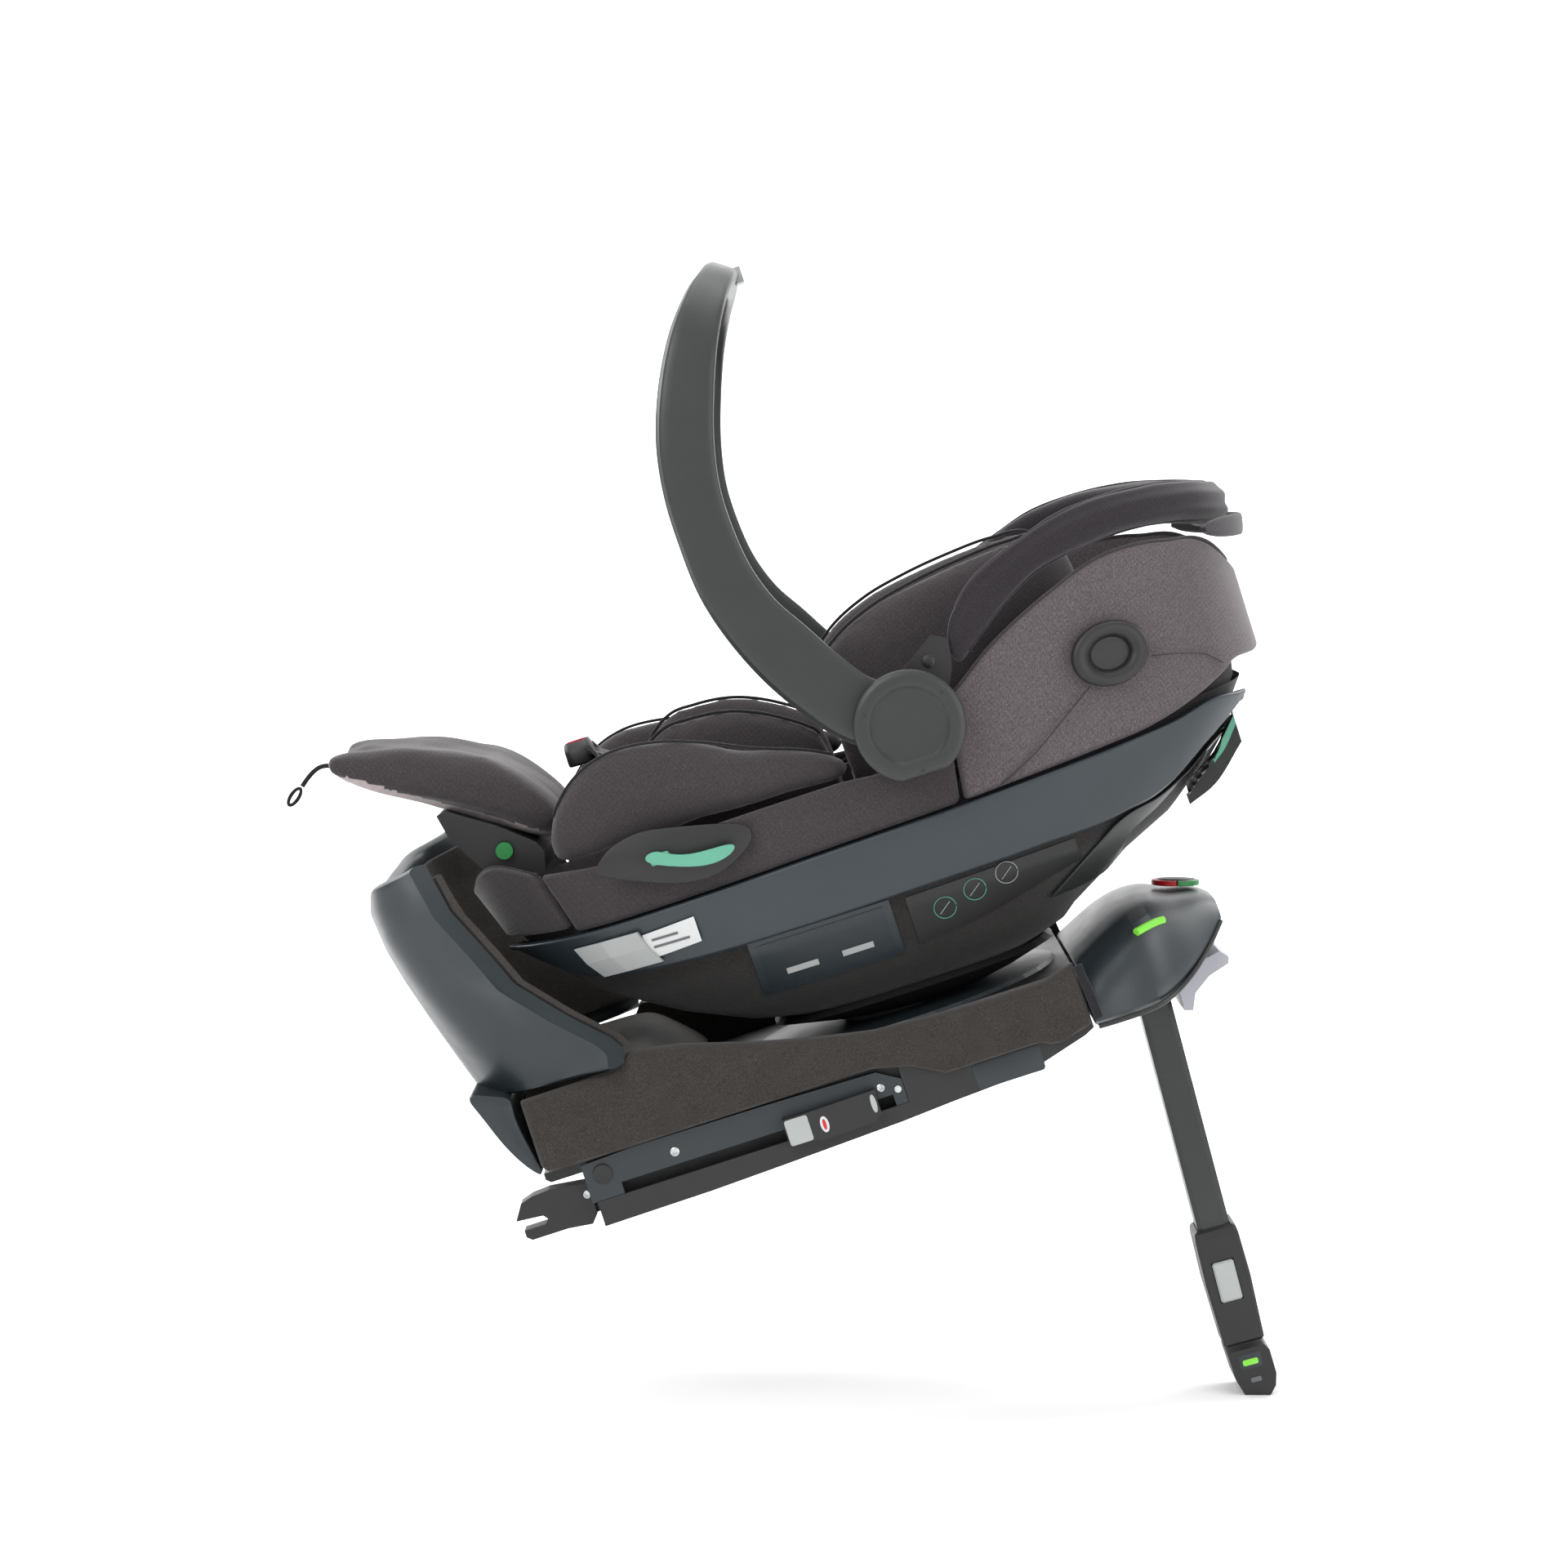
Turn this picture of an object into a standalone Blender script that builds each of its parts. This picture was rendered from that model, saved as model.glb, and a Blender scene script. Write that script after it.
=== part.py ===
"""Infant car seat: a carrier on a swivelling vehicle base with anchor arms and a load leg.

Everything is laid out in the seat's own level frame, in millimetres: X runs from the foot end to the
head end, Z is up from the base, Y is across. The origin is midway between the two anchor jaws.
One empty pitches that frame, so that the foot of the load leg stands level.
"""

import math

import bmesh
import bpy

for leftover in list(bpy.data.objects):
    bpy.data.objects.remove(leftover, do_unlink=True)

# ---------------------------------------------------------------- driving sizes, in mm and degrees
PITCH = 18.0  # the vehicle seat's slope
GAP = 0.4  # between neighbours that touch on the real object
RUNNING = 0.6  # between pieces that slide on each other

BASE_HALF_WIDTH = 165.0
CASING_TOP = 57.0
FELT = 8.0
SIDE_PLATE = 8.0  # thickness of the cover over each anchor arm
ANCHOR_SPACING = 280.0
ANCHOR_ROD = 6.0
JAW_WIDTH = 24.0
ARM_LOW, ARM_HIGH = -8.0, 18.0
BAR_HALF_WIDTH = 190.0
BAR_WALL = 13.0

LEG_PIVOT = (527.0, 16.0)
LEG_LEAN = 3.0
LEG_TUBE_DEPTH, LEG_TUBE_WIDTH = 27.0, 44.0
LEG_WALL = 2.5
LEG_LENGTH = 357.0  # from the pivot to the middle of the sole
LEG_CHANNEL_TOP = 52.0
LEG_TRAVEL = 90.0

SWIVEL_X = 330.0
SWIVEL_RADIUS = 130.0

CARRIER_HALF_WIDTH = 172.0
CARRIER_MIDDLE, CARRIER_HALF_LENGTH = 358.0, 327.0
SHELL = 5.0
COVER = 10.0
RAIL = 16.0

HUB = (402.0, 290.0)
HUB_RADIUS = 44.0
HUB_BORE = 14.0
HANDLE_RISE = 394.0
HANDLE_THICK = 13.0
CANOPY_ARM = 4.0
HUB_CAP = 13.0

LEG_REST_PIVOT = (61.0, 287.0)
LEG_REST_PIN = 7.0
PIN_PLAY = 0.25
LEG_REST_HALF_WIDTH = 100.0
CORD_RADIUS = 2.0

# Faces across the carrier at its hubs, each set off from the one before.
COVER_FACE = CARRIER_HALF_WIDTH + COVER + 1.0
CANOPY_INNER = COVER_FACE + 1.0
CANOPY_OUTER = CANOPY_INNER + CANOPY_ARM
FLANGE_OUTER = CANOPY_OUTER + 1.0 + 3.0
HANDLE_INNER = FLANGE_OUTER + GAP
HANDLE_OUTER = HANDLE_INNER + HANDLE_THICK
HANDLE_MIDDLE = (HANDLE_INNER + HANDLE_OUTER) / 2
FELT_FACE = BASE_HALF_WIDTH + GAP + FELT
ARM_Y = ANCHOR_SPACING / 2

MM = 0.001

# ---------------------------------------------------------------- finishes
FINISHES = {
    "black_plastic": ((0.020, 0.020, 0.022), 0.45, 0.0),
    "blue_black_plastic": ((0.026, 0.034, 0.042), 0.35, 0.0),
    "felt": ((0.050, 0.042, 0.038), 0.95, 0.0),
    "rail_plastic": ((0.048, 0.064, 0.080), 0.40, 0.0),
    "charcoal_plastic": ((0.055, 0.055, 0.055), 0.40, 0.0),
    "light_grey_plastic": ((0.500, 0.520, 0.510), 0.45, 0.0),
    "lilac_plastic": ((0.600, 0.600, 0.640), 0.40, 0.0),
    "teal_plastic": ((0.160, 0.500, 0.350), 0.40, 0.0),
    "green_plastic": ((0.010, 0.180, 0.040), 0.40, 0.0),
    "lime_lens": ((0.200, 0.650, 0.070), 0.20, 0.0),
    "red_plastic": ((0.500, 0.020, 0.020), 0.40, 0.0),
    "seat_fabric": ((0.062, 0.052, 0.055), 0.95, 0.0),
    "heather_fabric": ((0.150, 0.125, 0.135), 0.95, 0.0),
    "canopy_fabric": ((0.022, 0.018, 0.022), 0.90, 0.0),
    "webbing": ((0.012, 0.012, 0.013), 0.80, 0.0),
    "steel": ((0.450, 0.450, 0.460), 0.30, 1.0),
}


def finish(name):
    made = bpy.data.materials.get(name)
    if made:
        return made
    colour, roughness, metallic = FINISHES[name]
    made = bpy.data.materials.new(name)
    made.use_nodes = True
    shader = made.node_tree.nodes["Principled BSDF"]
    shader.inputs["Base Color"].default_value = (*colour, 1.0)
    shader.inputs["Roughness"].default_value = roughness
    shader.inputs["Metallic"].default_value = metallic
    return made


# ---------------------------------------------------------------- holders and solids
PIVOTS = {}


def holder(name, at=(0.0, 0.0, 0.0), parent=None, turn_y=0.0, local=False):
    """An empty at a joint. Pieces under it are given in the seat frame, or in its own frame if local."""
    empty = bpy.data.objects.new(name, None)
    bpy.context.scene.collection.objects.link(empty)
    from_parent = PIVOTS[parent.name] if parent else (0.0, 0.0, 0.0)
    empty.location = [(a - b) * MM for a, b in zip(at, from_parent)]
    empty.rotation_euler = (0.0, math.radians(turn_y), 0.0)
    empty.parent = parent
    PIVOTS[name] = (0.0, 0.0, 0.0) if local else at
    return empty


def solid(name, shape, look, parent, bevel=0.0):
    """One named piece from (points, faces)."""
    points, faces = shape
    pivot = PIVOTS[parent.name]
    mesh = bpy.data.meshes.new(name)
    at = [[(value - from_) * MM for value, from_ in zip(point, pivot)] for point in points]
    mesh.from_pydata(at, [], faces)
    work = bmesh.new()
    work.from_mesh(mesh)
    bmesh.ops.recalc_face_normals(work, faces=work.faces)
    work.to_mesh(mesh)
    work.free()
    mesh.shade_smooth()
    mesh.set_sharp_from_angle(angle=math.radians(35))
    mesh.materials.append(finish(look))
    piece = bpy.data.objects.new(name, mesh)
    piece.parent = parent
    bpy.context.scene.collection.objects.link(piece)
    if bevel:
        modifier = piece.modifiers.new("rounded_edges", "BEVEL")
        modifier.width = bevel * MM
        modifier.segments = 1
        modifier.limit_method = "ANGLE"
        modifier.angle_limit = math.radians(40)
    return piece


def cut(piece, name, shape, parent, operation="DIFFERENCE"):
    """Takes a helper shape out of a piece, or joins it on."""
    helper = solid(name, shape, "black_plastic", parent)
    helper.hide_render = True
    helper.display_type = "WIRE"
    modifier = piece.modifiers.new(name, "BOOLEAN")
    modifier.operation = operation
    modifier.object = helper
    modifier.solver = "EXACT"


def loft(rings):
    """Rings of the same count joined in order, with a face over each end."""
    count = len(rings[0])
    points = [point for ring in rings for point in ring]
    faces = []
    for i in range(len(rings) - 1):
        for j in range(count):
            k = (j + 1) % count
            faces.append((i * count + j, i * count + k, (i + 1) * count + k, (i + 1) * count + j))
    last = (len(rings) - 1) * count
    faces.append(tuple(range(count)))
    faces.append(tuple(range(last, last + count)))
    return points, faces


def prism(outline, y_from, y_to):
    """An outline in X and Z carried across from one Y to another."""
    return loft([[(x, y, z) for x, z in outline] for y in (y_from, y_to)])


def block(x, y, z):
    return prism([(x[0], z[0]), (x[1], z[0]), (x[1], z[1]), (x[0], z[1])], y[0], y[1])


def disc(centre, profile, sides=28, stretch=1.0):
    """Rings about an axis along Y through centre, one for each (radius, y)."""
    rings = []
    for radius, y in profile:
        turns = [2 * math.pi * i / sides for i in range(sides)]
        rings.append(
            [(centre[0] + stretch * radius * math.cos(a), y, centre[1] + radius * math.sin(a)) for a in turns]
        )
    return loft(rings)


def standing(centre, profile, sides=28):
    """Rings about an axis along Z through centre, one for each (radius, z)."""
    rings = []
    for radius, z in profile:
        turns = [2 * math.pi * i / sides for i in range(sides)]
        rings.append([(centre[0] + radius * math.cos(a), centre[1] + radius * math.sin(a), z) for a in turns])
    return loft(rings)


def along(table, x):
    """Reads a table of (x, value) rows, straight between rows and level past its ends."""
    if x <= table[0][0]:
        return table[0][1]
    for (x0, v0), (x1, v1) in zip(table, table[1:]):
        if x <= x1:
            return v0 + (v1 - v0) * (x - x0) / (x1 - x0)
    return table[-1][1]


def mirrored(side, y_from, y_to):
    """The same stretch of Y on the side asked for, +1 or -1."""
    return side * y_from, side * y_to


SIDES = (("left", 1), ("right", -1))

# ---------------------------------------------------------------- the frame
seat_frame = holder("seat_frame", turn_y=-PITCH)

# ---------------------------------------------------------------- the base's casing
CASING_UNDERSIDE = [(50, -18), (140, -17), (200, -15), (300, -11), (345, -8), (385, -6), (420, -1), (460, 10)]
CASING_END = 468.0
PLATE_FROM, PLATE_TO = 46.0, 310.0
PLATE_LOW, PLATE_HIGH = 2.6, 36.0
SLOT_FROM, SLOT_TO, SLOT_TOP = 73.0, 300.0, 12.0
CHANNEL_HALF = LEG_TUBE_WIDTH / 2 + 13.0

casing = solid(
    "base_lower_casing",
    prism(
        CASING_UNDERSIDE
        + [(CASING_END, 14), (CASING_END, CASING_TOP), (18, CASING_TOP), (18, 40), (50, 36)],
        -BASE_HALF_WIDTH,
        BASE_HALF_WIDTH,
    ),
    "black_plastic",
    seat_frame,
)
for label, side in SIDES:
    inner = side * (ARM_Y - JAW_WIDTH / 2 - RUNNING)
    wall = side * (BASE_HALF_WIDTH - SIDE_PLATE)
    outside = side * (BASE_HALF_WIDTH + 5)
    cut(
        casing,
        f"arm_channel_{label}",
        block((30, PLATE_TO + 20), (inner, wall), (ARM_LOW - RUNNING, ARM_HIGH + RUNNING)),
        seat_frame,
    )
    cut(
        casing,
        f"plate_recess_{label}",
        block((PLATE_FROM - 10, PLATE_TO + GAP), (wall - side * GAP, outside), (PLATE_LOW - GAP, PLATE_HIGH + GAP)),
        seat_frame,
    )
cut(
    casing,
    "leg_channel",
    block(
        (LEG_PIVOT[0] - LEG_LENGTH - LEG_TRAVEL - 12, CASING_END + 10), (-CHANNEL_HALF, CHANNEL_HALF), (-40, LEG_CHANNEL_TOP)
    ),
    seat_frame,
)

# ---------------------------------------------------------------- the arm covers and the anchor arms
JAW = [
    (-18, 5.5), (-10, 18), (0, 21), (15, 22), (30, 20), (46, ARM_HIGH), (46, ARM_LOW), (40, -15), (20, -12.5),
    (-10, -12.5), (-14, -9), (-14, -3.6),
]  # fmt: skip
JAW_SLOT_HALF = ANCHOR_ROD / 2 + 0.6
HOOK_PIVOT = (24.0, 11.0)
HOOK = [(27, 15), (14, 16), (4, 12.5), (3, 6.5), (8, 5.5), (12, 8.5), (27, 6)]
GRIP_FROM, GRIP_TO = 210.0, 287.0

for label, side in SIDES:
    near, far = mirrored(side, BASE_HALF_WIDTH - SIDE_PLATE, BASE_HALF_WIDTH)
    solid(
        f"arm_cover_{label}",
        prism(
            [
                (PLATE_FROM, PLATE_LOW), (SLOT_FROM, PLATE_LOW), (SLOT_FROM, SLOT_TOP), (SLOT_TO, SLOT_TOP),
                (SLOT_TO, PLATE_LOW), (PLATE_TO, PLATE_LOW), (PLATE_TO, 22), (292, 33), (200, PLATE_HIGH - 1),
                (90, PLATE_HIGH), (PLATE_FROM, 34),
            ],  # fmt: skip
            near,
            far,
        ),
        "blue_black_plastic",
        seat_frame,
    )
    arm_holder = holder(f"anchor_arm_{label}_slide", (0.0, side * ARM_Y, 0.0), seat_frame)
    inside, outside = mirrored(side, ARM_Y - JAW_WIDTH / 2, ARM_Y + JAW_WIDTH / 2)
    arm = solid(f"anchor_arm_{label}", prism(JAW, inside, outside), "black_plastic", arm_holder)
    cut(
        arm,
        f"arm_bar_{label}",
        block((45, 300), (inside, side * (ARM_Y + JAW_WIDTH / 2 - 8)), (ARM_LOW, ARM_HIGH)),
        arm_holder,
        "UNION",
    )
    cut(
        arm,
        f"jaw_slot_{label}",
        prism(
            [(-30, -JAW_SLOT_HALF), (4, -JAW_SLOT_HALF), (7, 0), (4, JAW_SLOT_HALF), (-30, JAW_SLOT_HALF + 3)],
            side * (ARM_Y - JAW_WIDTH),
            side * (ARM_Y + JAW_WIDTH),
        ),
        arm_holder,
    )
    cut(
        arm,
        f"hook_pocket_{label}",
        block((-2, 32), (side * (ARM_Y - 6), side * (ARM_Y + 6)), (0, 17.5)),
        arm_holder,
    )
    hook_holder = holder(f"anchor_hook_{label}_pivot", (HOOK_PIVOT[0], side * ARM_Y, HOOK_PIVOT[1]), arm_holder)
    solid(
        f"anchor_hook_{label}",
        prism(HOOK, side * (ARM_Y - 5), side * (ARM_Y + 5)),
        "steel",
        hook_holder,
    )
    grip_holder = holder(f"anchor_grip_{label}_slide", (248.0, side * BASE_HALF_WIDTH, 9.0), arm_holder)
    plate_face = BASE_HALF_WIDTH + RUNNING
    grip = solid(
        f"anchor_grip_{label}",
        prism(
            [(GRIP_FROM, -2), (232, -2), (234, -4), (280, -3), (GRIP_TO, 2), (GRIP_TO, 22), (234, 21), (GRIP_FROM, 21)],
            side * plate_face,
            side * (plate_face + 12),
        ),
        "black_plastic",
        grip_holder,
    )
    neck_end = ARM_Y + JAW_WIDTH / 2 - 8 + RUNNING
    cut(
        grip,
        f"grip_neck_{label}",
        block((236, 274), (side * neck_end, side * (plate_face + 2)), (PLATE_LOW + 1.4, SLOT_TOP - 1)),
        grip_holder,
        "UNION",
    )

# ---------------------------------------------------------------- felt sides of the base
FELT_LOW = [(15, 46), (22, 37), (290, 37.5), (320, 30), (345, 16), (424, 16), (432, 12), (440, 11), (467, 18)]
FELT_HIGH = [
    (15, 98), (88, 99), (106, 100), (109, 110), (150, 103), (200, 88), (250, 75), (300, 65.5), (350, 62), (400, 61),
    (440, 61), (467, 68),
]  # fmt: skip
FELT_STATIONS = [17.2, 60, 88, 106, 109, 150, 200, 250, 290, 320, 345, 400, 424, 440, 467]
FELT_SHOULDER = 25.0

for label, side in SIDES:
    rings = []
    for x in FELT_STATIONS:
        low, high = along(FELT_LOW, x), along(FELT_HIGH, x)
        face = BASE_HALF_WIDTH + GAP
        section = [
            (face, low), (FELT_FACE, low + 2), (FELT_FACE, high - 4), (FELT_FACE - 5, high),
            (FELT_FACE - 22, high - 1), (face - FELT_SHOULDER, CASING_TOP + GAP), (face, CASING_TOP + GAP),
        ]  # fmt: skip
        rings.append([(x, side * y, z) for y, z in section])
    solid(f"base_felt_{label}", loft(rings), "felt", seat_frame)

# ---------------------------------------------------------------- the rebound bar
BAR_FRONT = [(44, -2), (70, -10), (105, -22), (140, -32), (180, -43), (220, -53), (250, -59), (285, -62), (305, -56)]
BAR_TURN = [(44, 10), (107, 80), (120, 70), (155, 40), (200, 10), (215, 0), (260, -18), (285, -15), (305, -18)]
BAR_EDGE = [(44, 14), (100, 92), (115, 96), (125, 90), (155, 60), (190, 30), (215, 20), (260, 0), (305, -8)]
BAR_DIP = 20.0  # how much lower the rim is at its middle
BAR_LEVELS = [105, 115, 135, 160, 190, 220, 250, 275, 292, 303]


def bar_section(level, outset, z_shift=0.0):
    """The bar's plan at one height: a curve round the foot end, from its left edge to its right."""
    front, turn, edge = (along(table, level) for table in (BAR_FRONT, BAR_TURN, BAR_EDGE))
    half = [
        (front, 0.0), (front + 1, 0.32), (front + 0.10 * (turn - front) + 3, 0.60),
        (front + 0.40 * (turn - front), 0.80), (turn, 0.93), (edge, 1.0),
    ]  # fmt: skip
    reach = BAR_HALF_WIDTH - outset
    fall = BAR_DIP * max(level - BAR_LEVELS[0], 0) / (BAR_LEVELS[-1] - BAR_LEVELS[0])
    right = [(x + outset, -reach * share, level + z_shift - fall * (1 - share * share)) for x, share in half]
    left = [(x, -y, z) for x, y, z in right[1:]]
    return left[::-1] + right


def bar_solid(levels, outer, inner, drop=0.0):
    """A curved wall between two outsets of the bar's plan."""
    rings = []
    for level in levels:
        outside = bar_section(level, outer)
        inside = bar_section(level, inner, -drop)
        keep = outside + inside[::-1]
        rings.append(keep)
    return loft(rings)


bar = solid("rebound_bar", bar_solid(BAR_LEVELS, 0.0, BAR_WALL), "blue_black_plastic", seat_frame)
LINER = 5.0
solid(
    "rebound_bar_liner",
    bar_solid(BAR_LEVELS[1:-1], BAR_WALL + 2, BAR_WALL + 2 + LINER),
    "felt",
    seat_frame,
)
cut(
    bar,
    "bar_foot",
    loft(
        [
            [(12, y, 36.5), (-8, y, 70), (-20, y, 104), (-23, y, 113), (-13, y, 113), (10, y, 104), (8.5, y, 86), (16.5, y, 42)]
            for y in (-BASE_HALF_WIDTH, BASE_HALF_WIDTH)
        ]
    ),
    seat_frame,
    "UNION",
)

# ---------------------------------------------------------------- the nose over the load leg
NOSE_STATIONS = [470, 490, 510, 527, 543, 563, 580, 598]
NOSE_HALF = [(470, 172), (490, 168), (510, 158), (527, 143), (543, 122), (563, 98), (580, 74), (598, 48)]
NOSE_LOW = [(470, 13), (527, 11), (543, 14), (563, 23), (580, 34), (598, 49)]
NOSE_HIGH = [(470, 62), (490, 73), (510, 82), (527, 87), (543, 88), (563, 82), (588, 74), (598, 67)]

rings = []
for x in NOSE_STATIONS:
    half, low, high = along(NOSE_HALF, x), along(NOSE_LOW, x), along(NOSE_HIGH, x)
    tall = high - low
    right = [
        (0.92 * half, low), (half, low + 0.12 * tall), (half, low + 0.45 * tall), (0.88 * half, low + 0.80 * tall),
        (0.55 * half, high - 0.04 * tall), (0.25 * half, high),
    ]  # fmt: skip
    left = [(-y, z) for y, z in right[::-1]]
    rings.append([(x, y, z) for y, z in right + left])
nose = solid("front_nose", loft(rings), "blue_black_plastic", seat_frame)
cut(
    nose,
    "nose_leg_pocket",
    block((460, LEG_PIVOT[0] + LEG_TUBE_DEPTH / 2 + 9), (-CHANNEL_HALF, CHANNEL_HALF), (-40, LEG_CHANNEL_TOP)),
    seat_frame,
)
PIN_RADIUS = 6.0
cut(
    nose,
    "nose_pin_bore",
    disc(LEG_PIVOT, [(PIN_RADIUS + RUNNING, y) for y in (-CHANNEL_HALF - 13, CHANNEL_HALF + 13)], 20),
    seat_frame,
)
HANDLE_HALF = 48.0
cut(
    nose,
    "nose_handle_pocket",
    prism([(540, -30), (612, -30), (612, 44), (572, 38), (556, 34), (540, 27)], -HANDLE_HALF - 3, HANDLE_HALF + 3),
    seat_frame,
)

# The status dial lies level on the nose once the whole base is pitched.
DIAL = (572.0, 80.5)
dial_holder = holder("status_dial_seat", (DIAL[0], 0.0, DIAL[1]), seat_frame, PITCH, local=True)
solid("status_dial", standing((0, 0), [(20, 2.4), (20, 6.6), (18, 7.4)], 24), "green_plastic", dial_holder)

# ---------------------------------------------------------------- the seat release handle under the nose
RELEASE_PIVOT = (554.0, 18.0)
release_holder = holder("seat_release_pivot", (RELEASE_PIVOT[0], 0.0, RELEASE_PIVOT[1]), seat_frame)
solid(
    "seat_release_handle",
    prism(
        [(546, -13), (553, -15), (559, -2), (574, 8), (592, 13), (594, 18), (588, 25), (572, 22), (558, 22), (550, 15), (547, 3)],
        -HANDLE_HALF,
        HANDLE_HALF,
    ),
    "lilac_plastic",
    release_holder,
)

# ---------------------------------------------------------------- the load leg
leg = holder("leg_pivot", (LEG_PIVOT[0], 0.0, LEG_PIVOT[1]), seat_frame, LEG_LEAN, local=True)
half_deep, half_wide = LEG_TUBE_DEPTH / 2, LEG_TUBE_WIDTH / 2
UPPER_TUBE_END = 112.0 - LEG_LENGTH
upper = solid(
    "leg_upper_tube",
    block((-half_deep, half_deep), (-half_wide, half_wide), (UPPER_TUBE_END, 17)),
    "charcoal_plastic",
    leg,
    bevel=4.0,
)
cut(
    upper,
    "upper_tube_bore",
    block((-half_deep + LEG_WALL, half_deep - LEG_WALL), (-half_wide + LEG_WALL, half_wide - LEG_WALL), (UPPER_TUBE_END - 10, -20)),
    leg,
)
cut(
    upper,
    "upper_tube_pin_bore",
    disc((0, 0), [(PIN_RADIUS + 0.1, -half_wide - 10), (PIN_RADIUS + 0.1, half_wide + 10)], 20),
    leg,
)
solid(
    "leg_pivot_pin",
    disc((0, 0), [(PIN_RADIUS, -CHANNEL_HALF - 10), (PIN_RADIUS, CHANNEL_HALF + 10)], 20),
    "steel",
    leg,
)
slide_holder = holder("leg_slide", (0.0, 0.0, UPPER_TUBE_END), leg, local=True)
SLEEVE_TOP, SLEEVE_END = 144.0 - LEG_LENGTH, 44.0 - LEG_LENGTH
bore_deep, bore_wide = half_deep + RUNNING, half_wide + RUNNING
lower_deep, lower_wide = half_deep - LEG_WALL - RUNNING, half_wide - LEG_WALL - RUNNING
shift = -UPPER_TUBE_END


def leg_block(x, y, z):
    """A block in the leg's own frame, seen from the sliding part's holder."""
    return block(x, y, (z[0] + shift, z[1] + shift))


solid(
    "leg_lower_tube",
    leg_block((-lower_deep, lower_deep), (-lower_wide, lower_wide), (SLEEVE_END + 14, -50)),
    "charcoal_plastic",
    slide_holder,
)
sleeve_wall = 4.5
sleeve = solid(
    "leg_sleeve",
    loft(
        [
            [
                (-(bore_deep + grow), -(bore_wide + grow), z + shift), (bore_deep + grow, -(bore_wide + grow), z + shift),
                (bore_deep + grow, bore_wide + grow, z + shift), (-(bore_deep + grow), bore_wide + grow, z + shift),
            ]  # fmt: skip
            for z, grow in (
                (SLEEVE_TOP, 3.0), (SLEEVE_TOP - 8, 4.2), (SLEEVE_TOP - 45, 5.0), (SLEEVE_END + 15, 3.5), (SLEEVE_END, 3.0),
            )  # fmt: skip
        ]
    ),
    "black_plastic",
    slide_holder,
    bevel=2.0,
)
cut(
    sleeve,
    "sleeve_bore",
    leg_block((-bore_deep, bore_deep), (-bore_wide, bore_wide), (UPPER_TUBE_END - 4, SLEEVE_TOP + 10)),
    slide_holder,
)
cut(
    sleeve,
    "sleeve_core",
    leg_block((-lower_deep - GAP, lower_deep + GAP), (-lower_wide - GAP, lower_wide + GAP), (SLEEVE_END + 13, SLEEVE_TOP - 20)),
    slide_holder,
)
BUTTON_Z = SLEEVE_TOP - 44
button_holder = holder("leg_button_press", (0.0, -half_wide, BUTTON_Z + shift), slide_holder, local=True)
cut(
    sleeve,
    "sleeve_button_pocket",
    leg_block((-10.6, 8.6), (-bore_wide - 9, -bore_wide - 0.8), (BUTTON_Z - 18.6, BUTTON_Z + 16.6)),
    slide_holder,
)
solid(
    "leg_adjust_button",
    block((-10, 8), (-bore_wide + half_wide - 7.5, -bore_wide + half_wide - 3.4), (-18, 16)),
    "light_grey_plastic",
    button_holder,
    bevel=1.5,
)
SOLE_SLOPE = math.tan(math.radians(PITCH - LEG_LEAN))  # the sole stands level once the base is pitched
SOLE_HEIGHT = -44.0
FOOT_TOP = [(15.5, -4.4), (18.5, -10), (19, -30), (16, -40)]
FOOT_BACK = [(-15, -28), (-16.5, -4.4)]
foot_holder = holder("leg_foot_press", (0.0, 0.0, SLEEVE_END + shift), slide_holder, local=True)
foot_outline = FOOT_TOP + [(x, SOLE_HEIGHT - SOLE_SLOPE * x) for x in (10, -11)] + FOOT_BACK
solid(
    "leg_foot",
    prism(foot_outline, -half_wide - 6, half_wide + 6),
    "black_plastic",
    foot_holder,
)

# ---------------------------------------------------------------- the turntable and its cradle
turntable_holder = holder("turntable_swivel", (SWIVEL_X, 0.0, CASING_TOP), seat_frame)

BOWL_LENGTH = [(68, 0.13), (75, 0.24), (90, 0.42), (115, 0.55), (150, 0.755), (180, 0.86), (210, 0.925), (250, 1.0)]
BOWL_WIDTH = [(68, 0.30), (75, 0.45), (90, 0.62), (115, 0.76), (150, 0.88), (180, 0.94), (210, 0.975), (250, 1.0)]
BOWL_MIDDLE = [(68, 350), (115, 330), (150, 342), (250, CARRIER_MIDDLE)]
RIM = [(31, 240), (130, 245), (300, 248), (380, 262), (450, 300), (540, 338), (600, 350), (650, 338), (685, 298)]


QUARTER = (0, 12, 24, 36, 48, 58, 67, 75, 82, 87)  # closer together along the flat sides
TURNS = sorted({base + sign * turn for base, sign in ((0, 1), (180, -1)) for turn in QUARTER} | {90})
TURNS += [360 - turn for turn in TURNS[-2:0:-1]]
WALL_GAP = 2.0  # between the shell and what is fitted over it


def rounded(value, power):
    return math.copysign(abs(value) ** power, value)


def wall_point(turn, z, outset, rise=0.0):
    """A point of the carrier's wall: turn 0 is the head end, 90 the left side and 180 the foot end."""
    cosine, sine = math.cos(math.radians(turn)), math.sin(math.radians(turn))
    long_, wide = CARRIER_HALF_LENGTH * along(BOWL_LENGTH, z), CARRIER_HALF_WIDTH * along(BOWL_WIDTH, z)
    normal = (rounded(cosine, 4 / 3) / long_, rounded(sine, 4 / 3) / wide)
    size = math.hypot(*normal)
    x = along(BOWL_MIDDLE, z) + long_ * rounded(cosine, 2 / 3) + outset * normal[0] / size
    y = wide * rounded(sine, 2 / 3) + outset * normal[1] / size
    return x, y, z + rise


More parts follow.
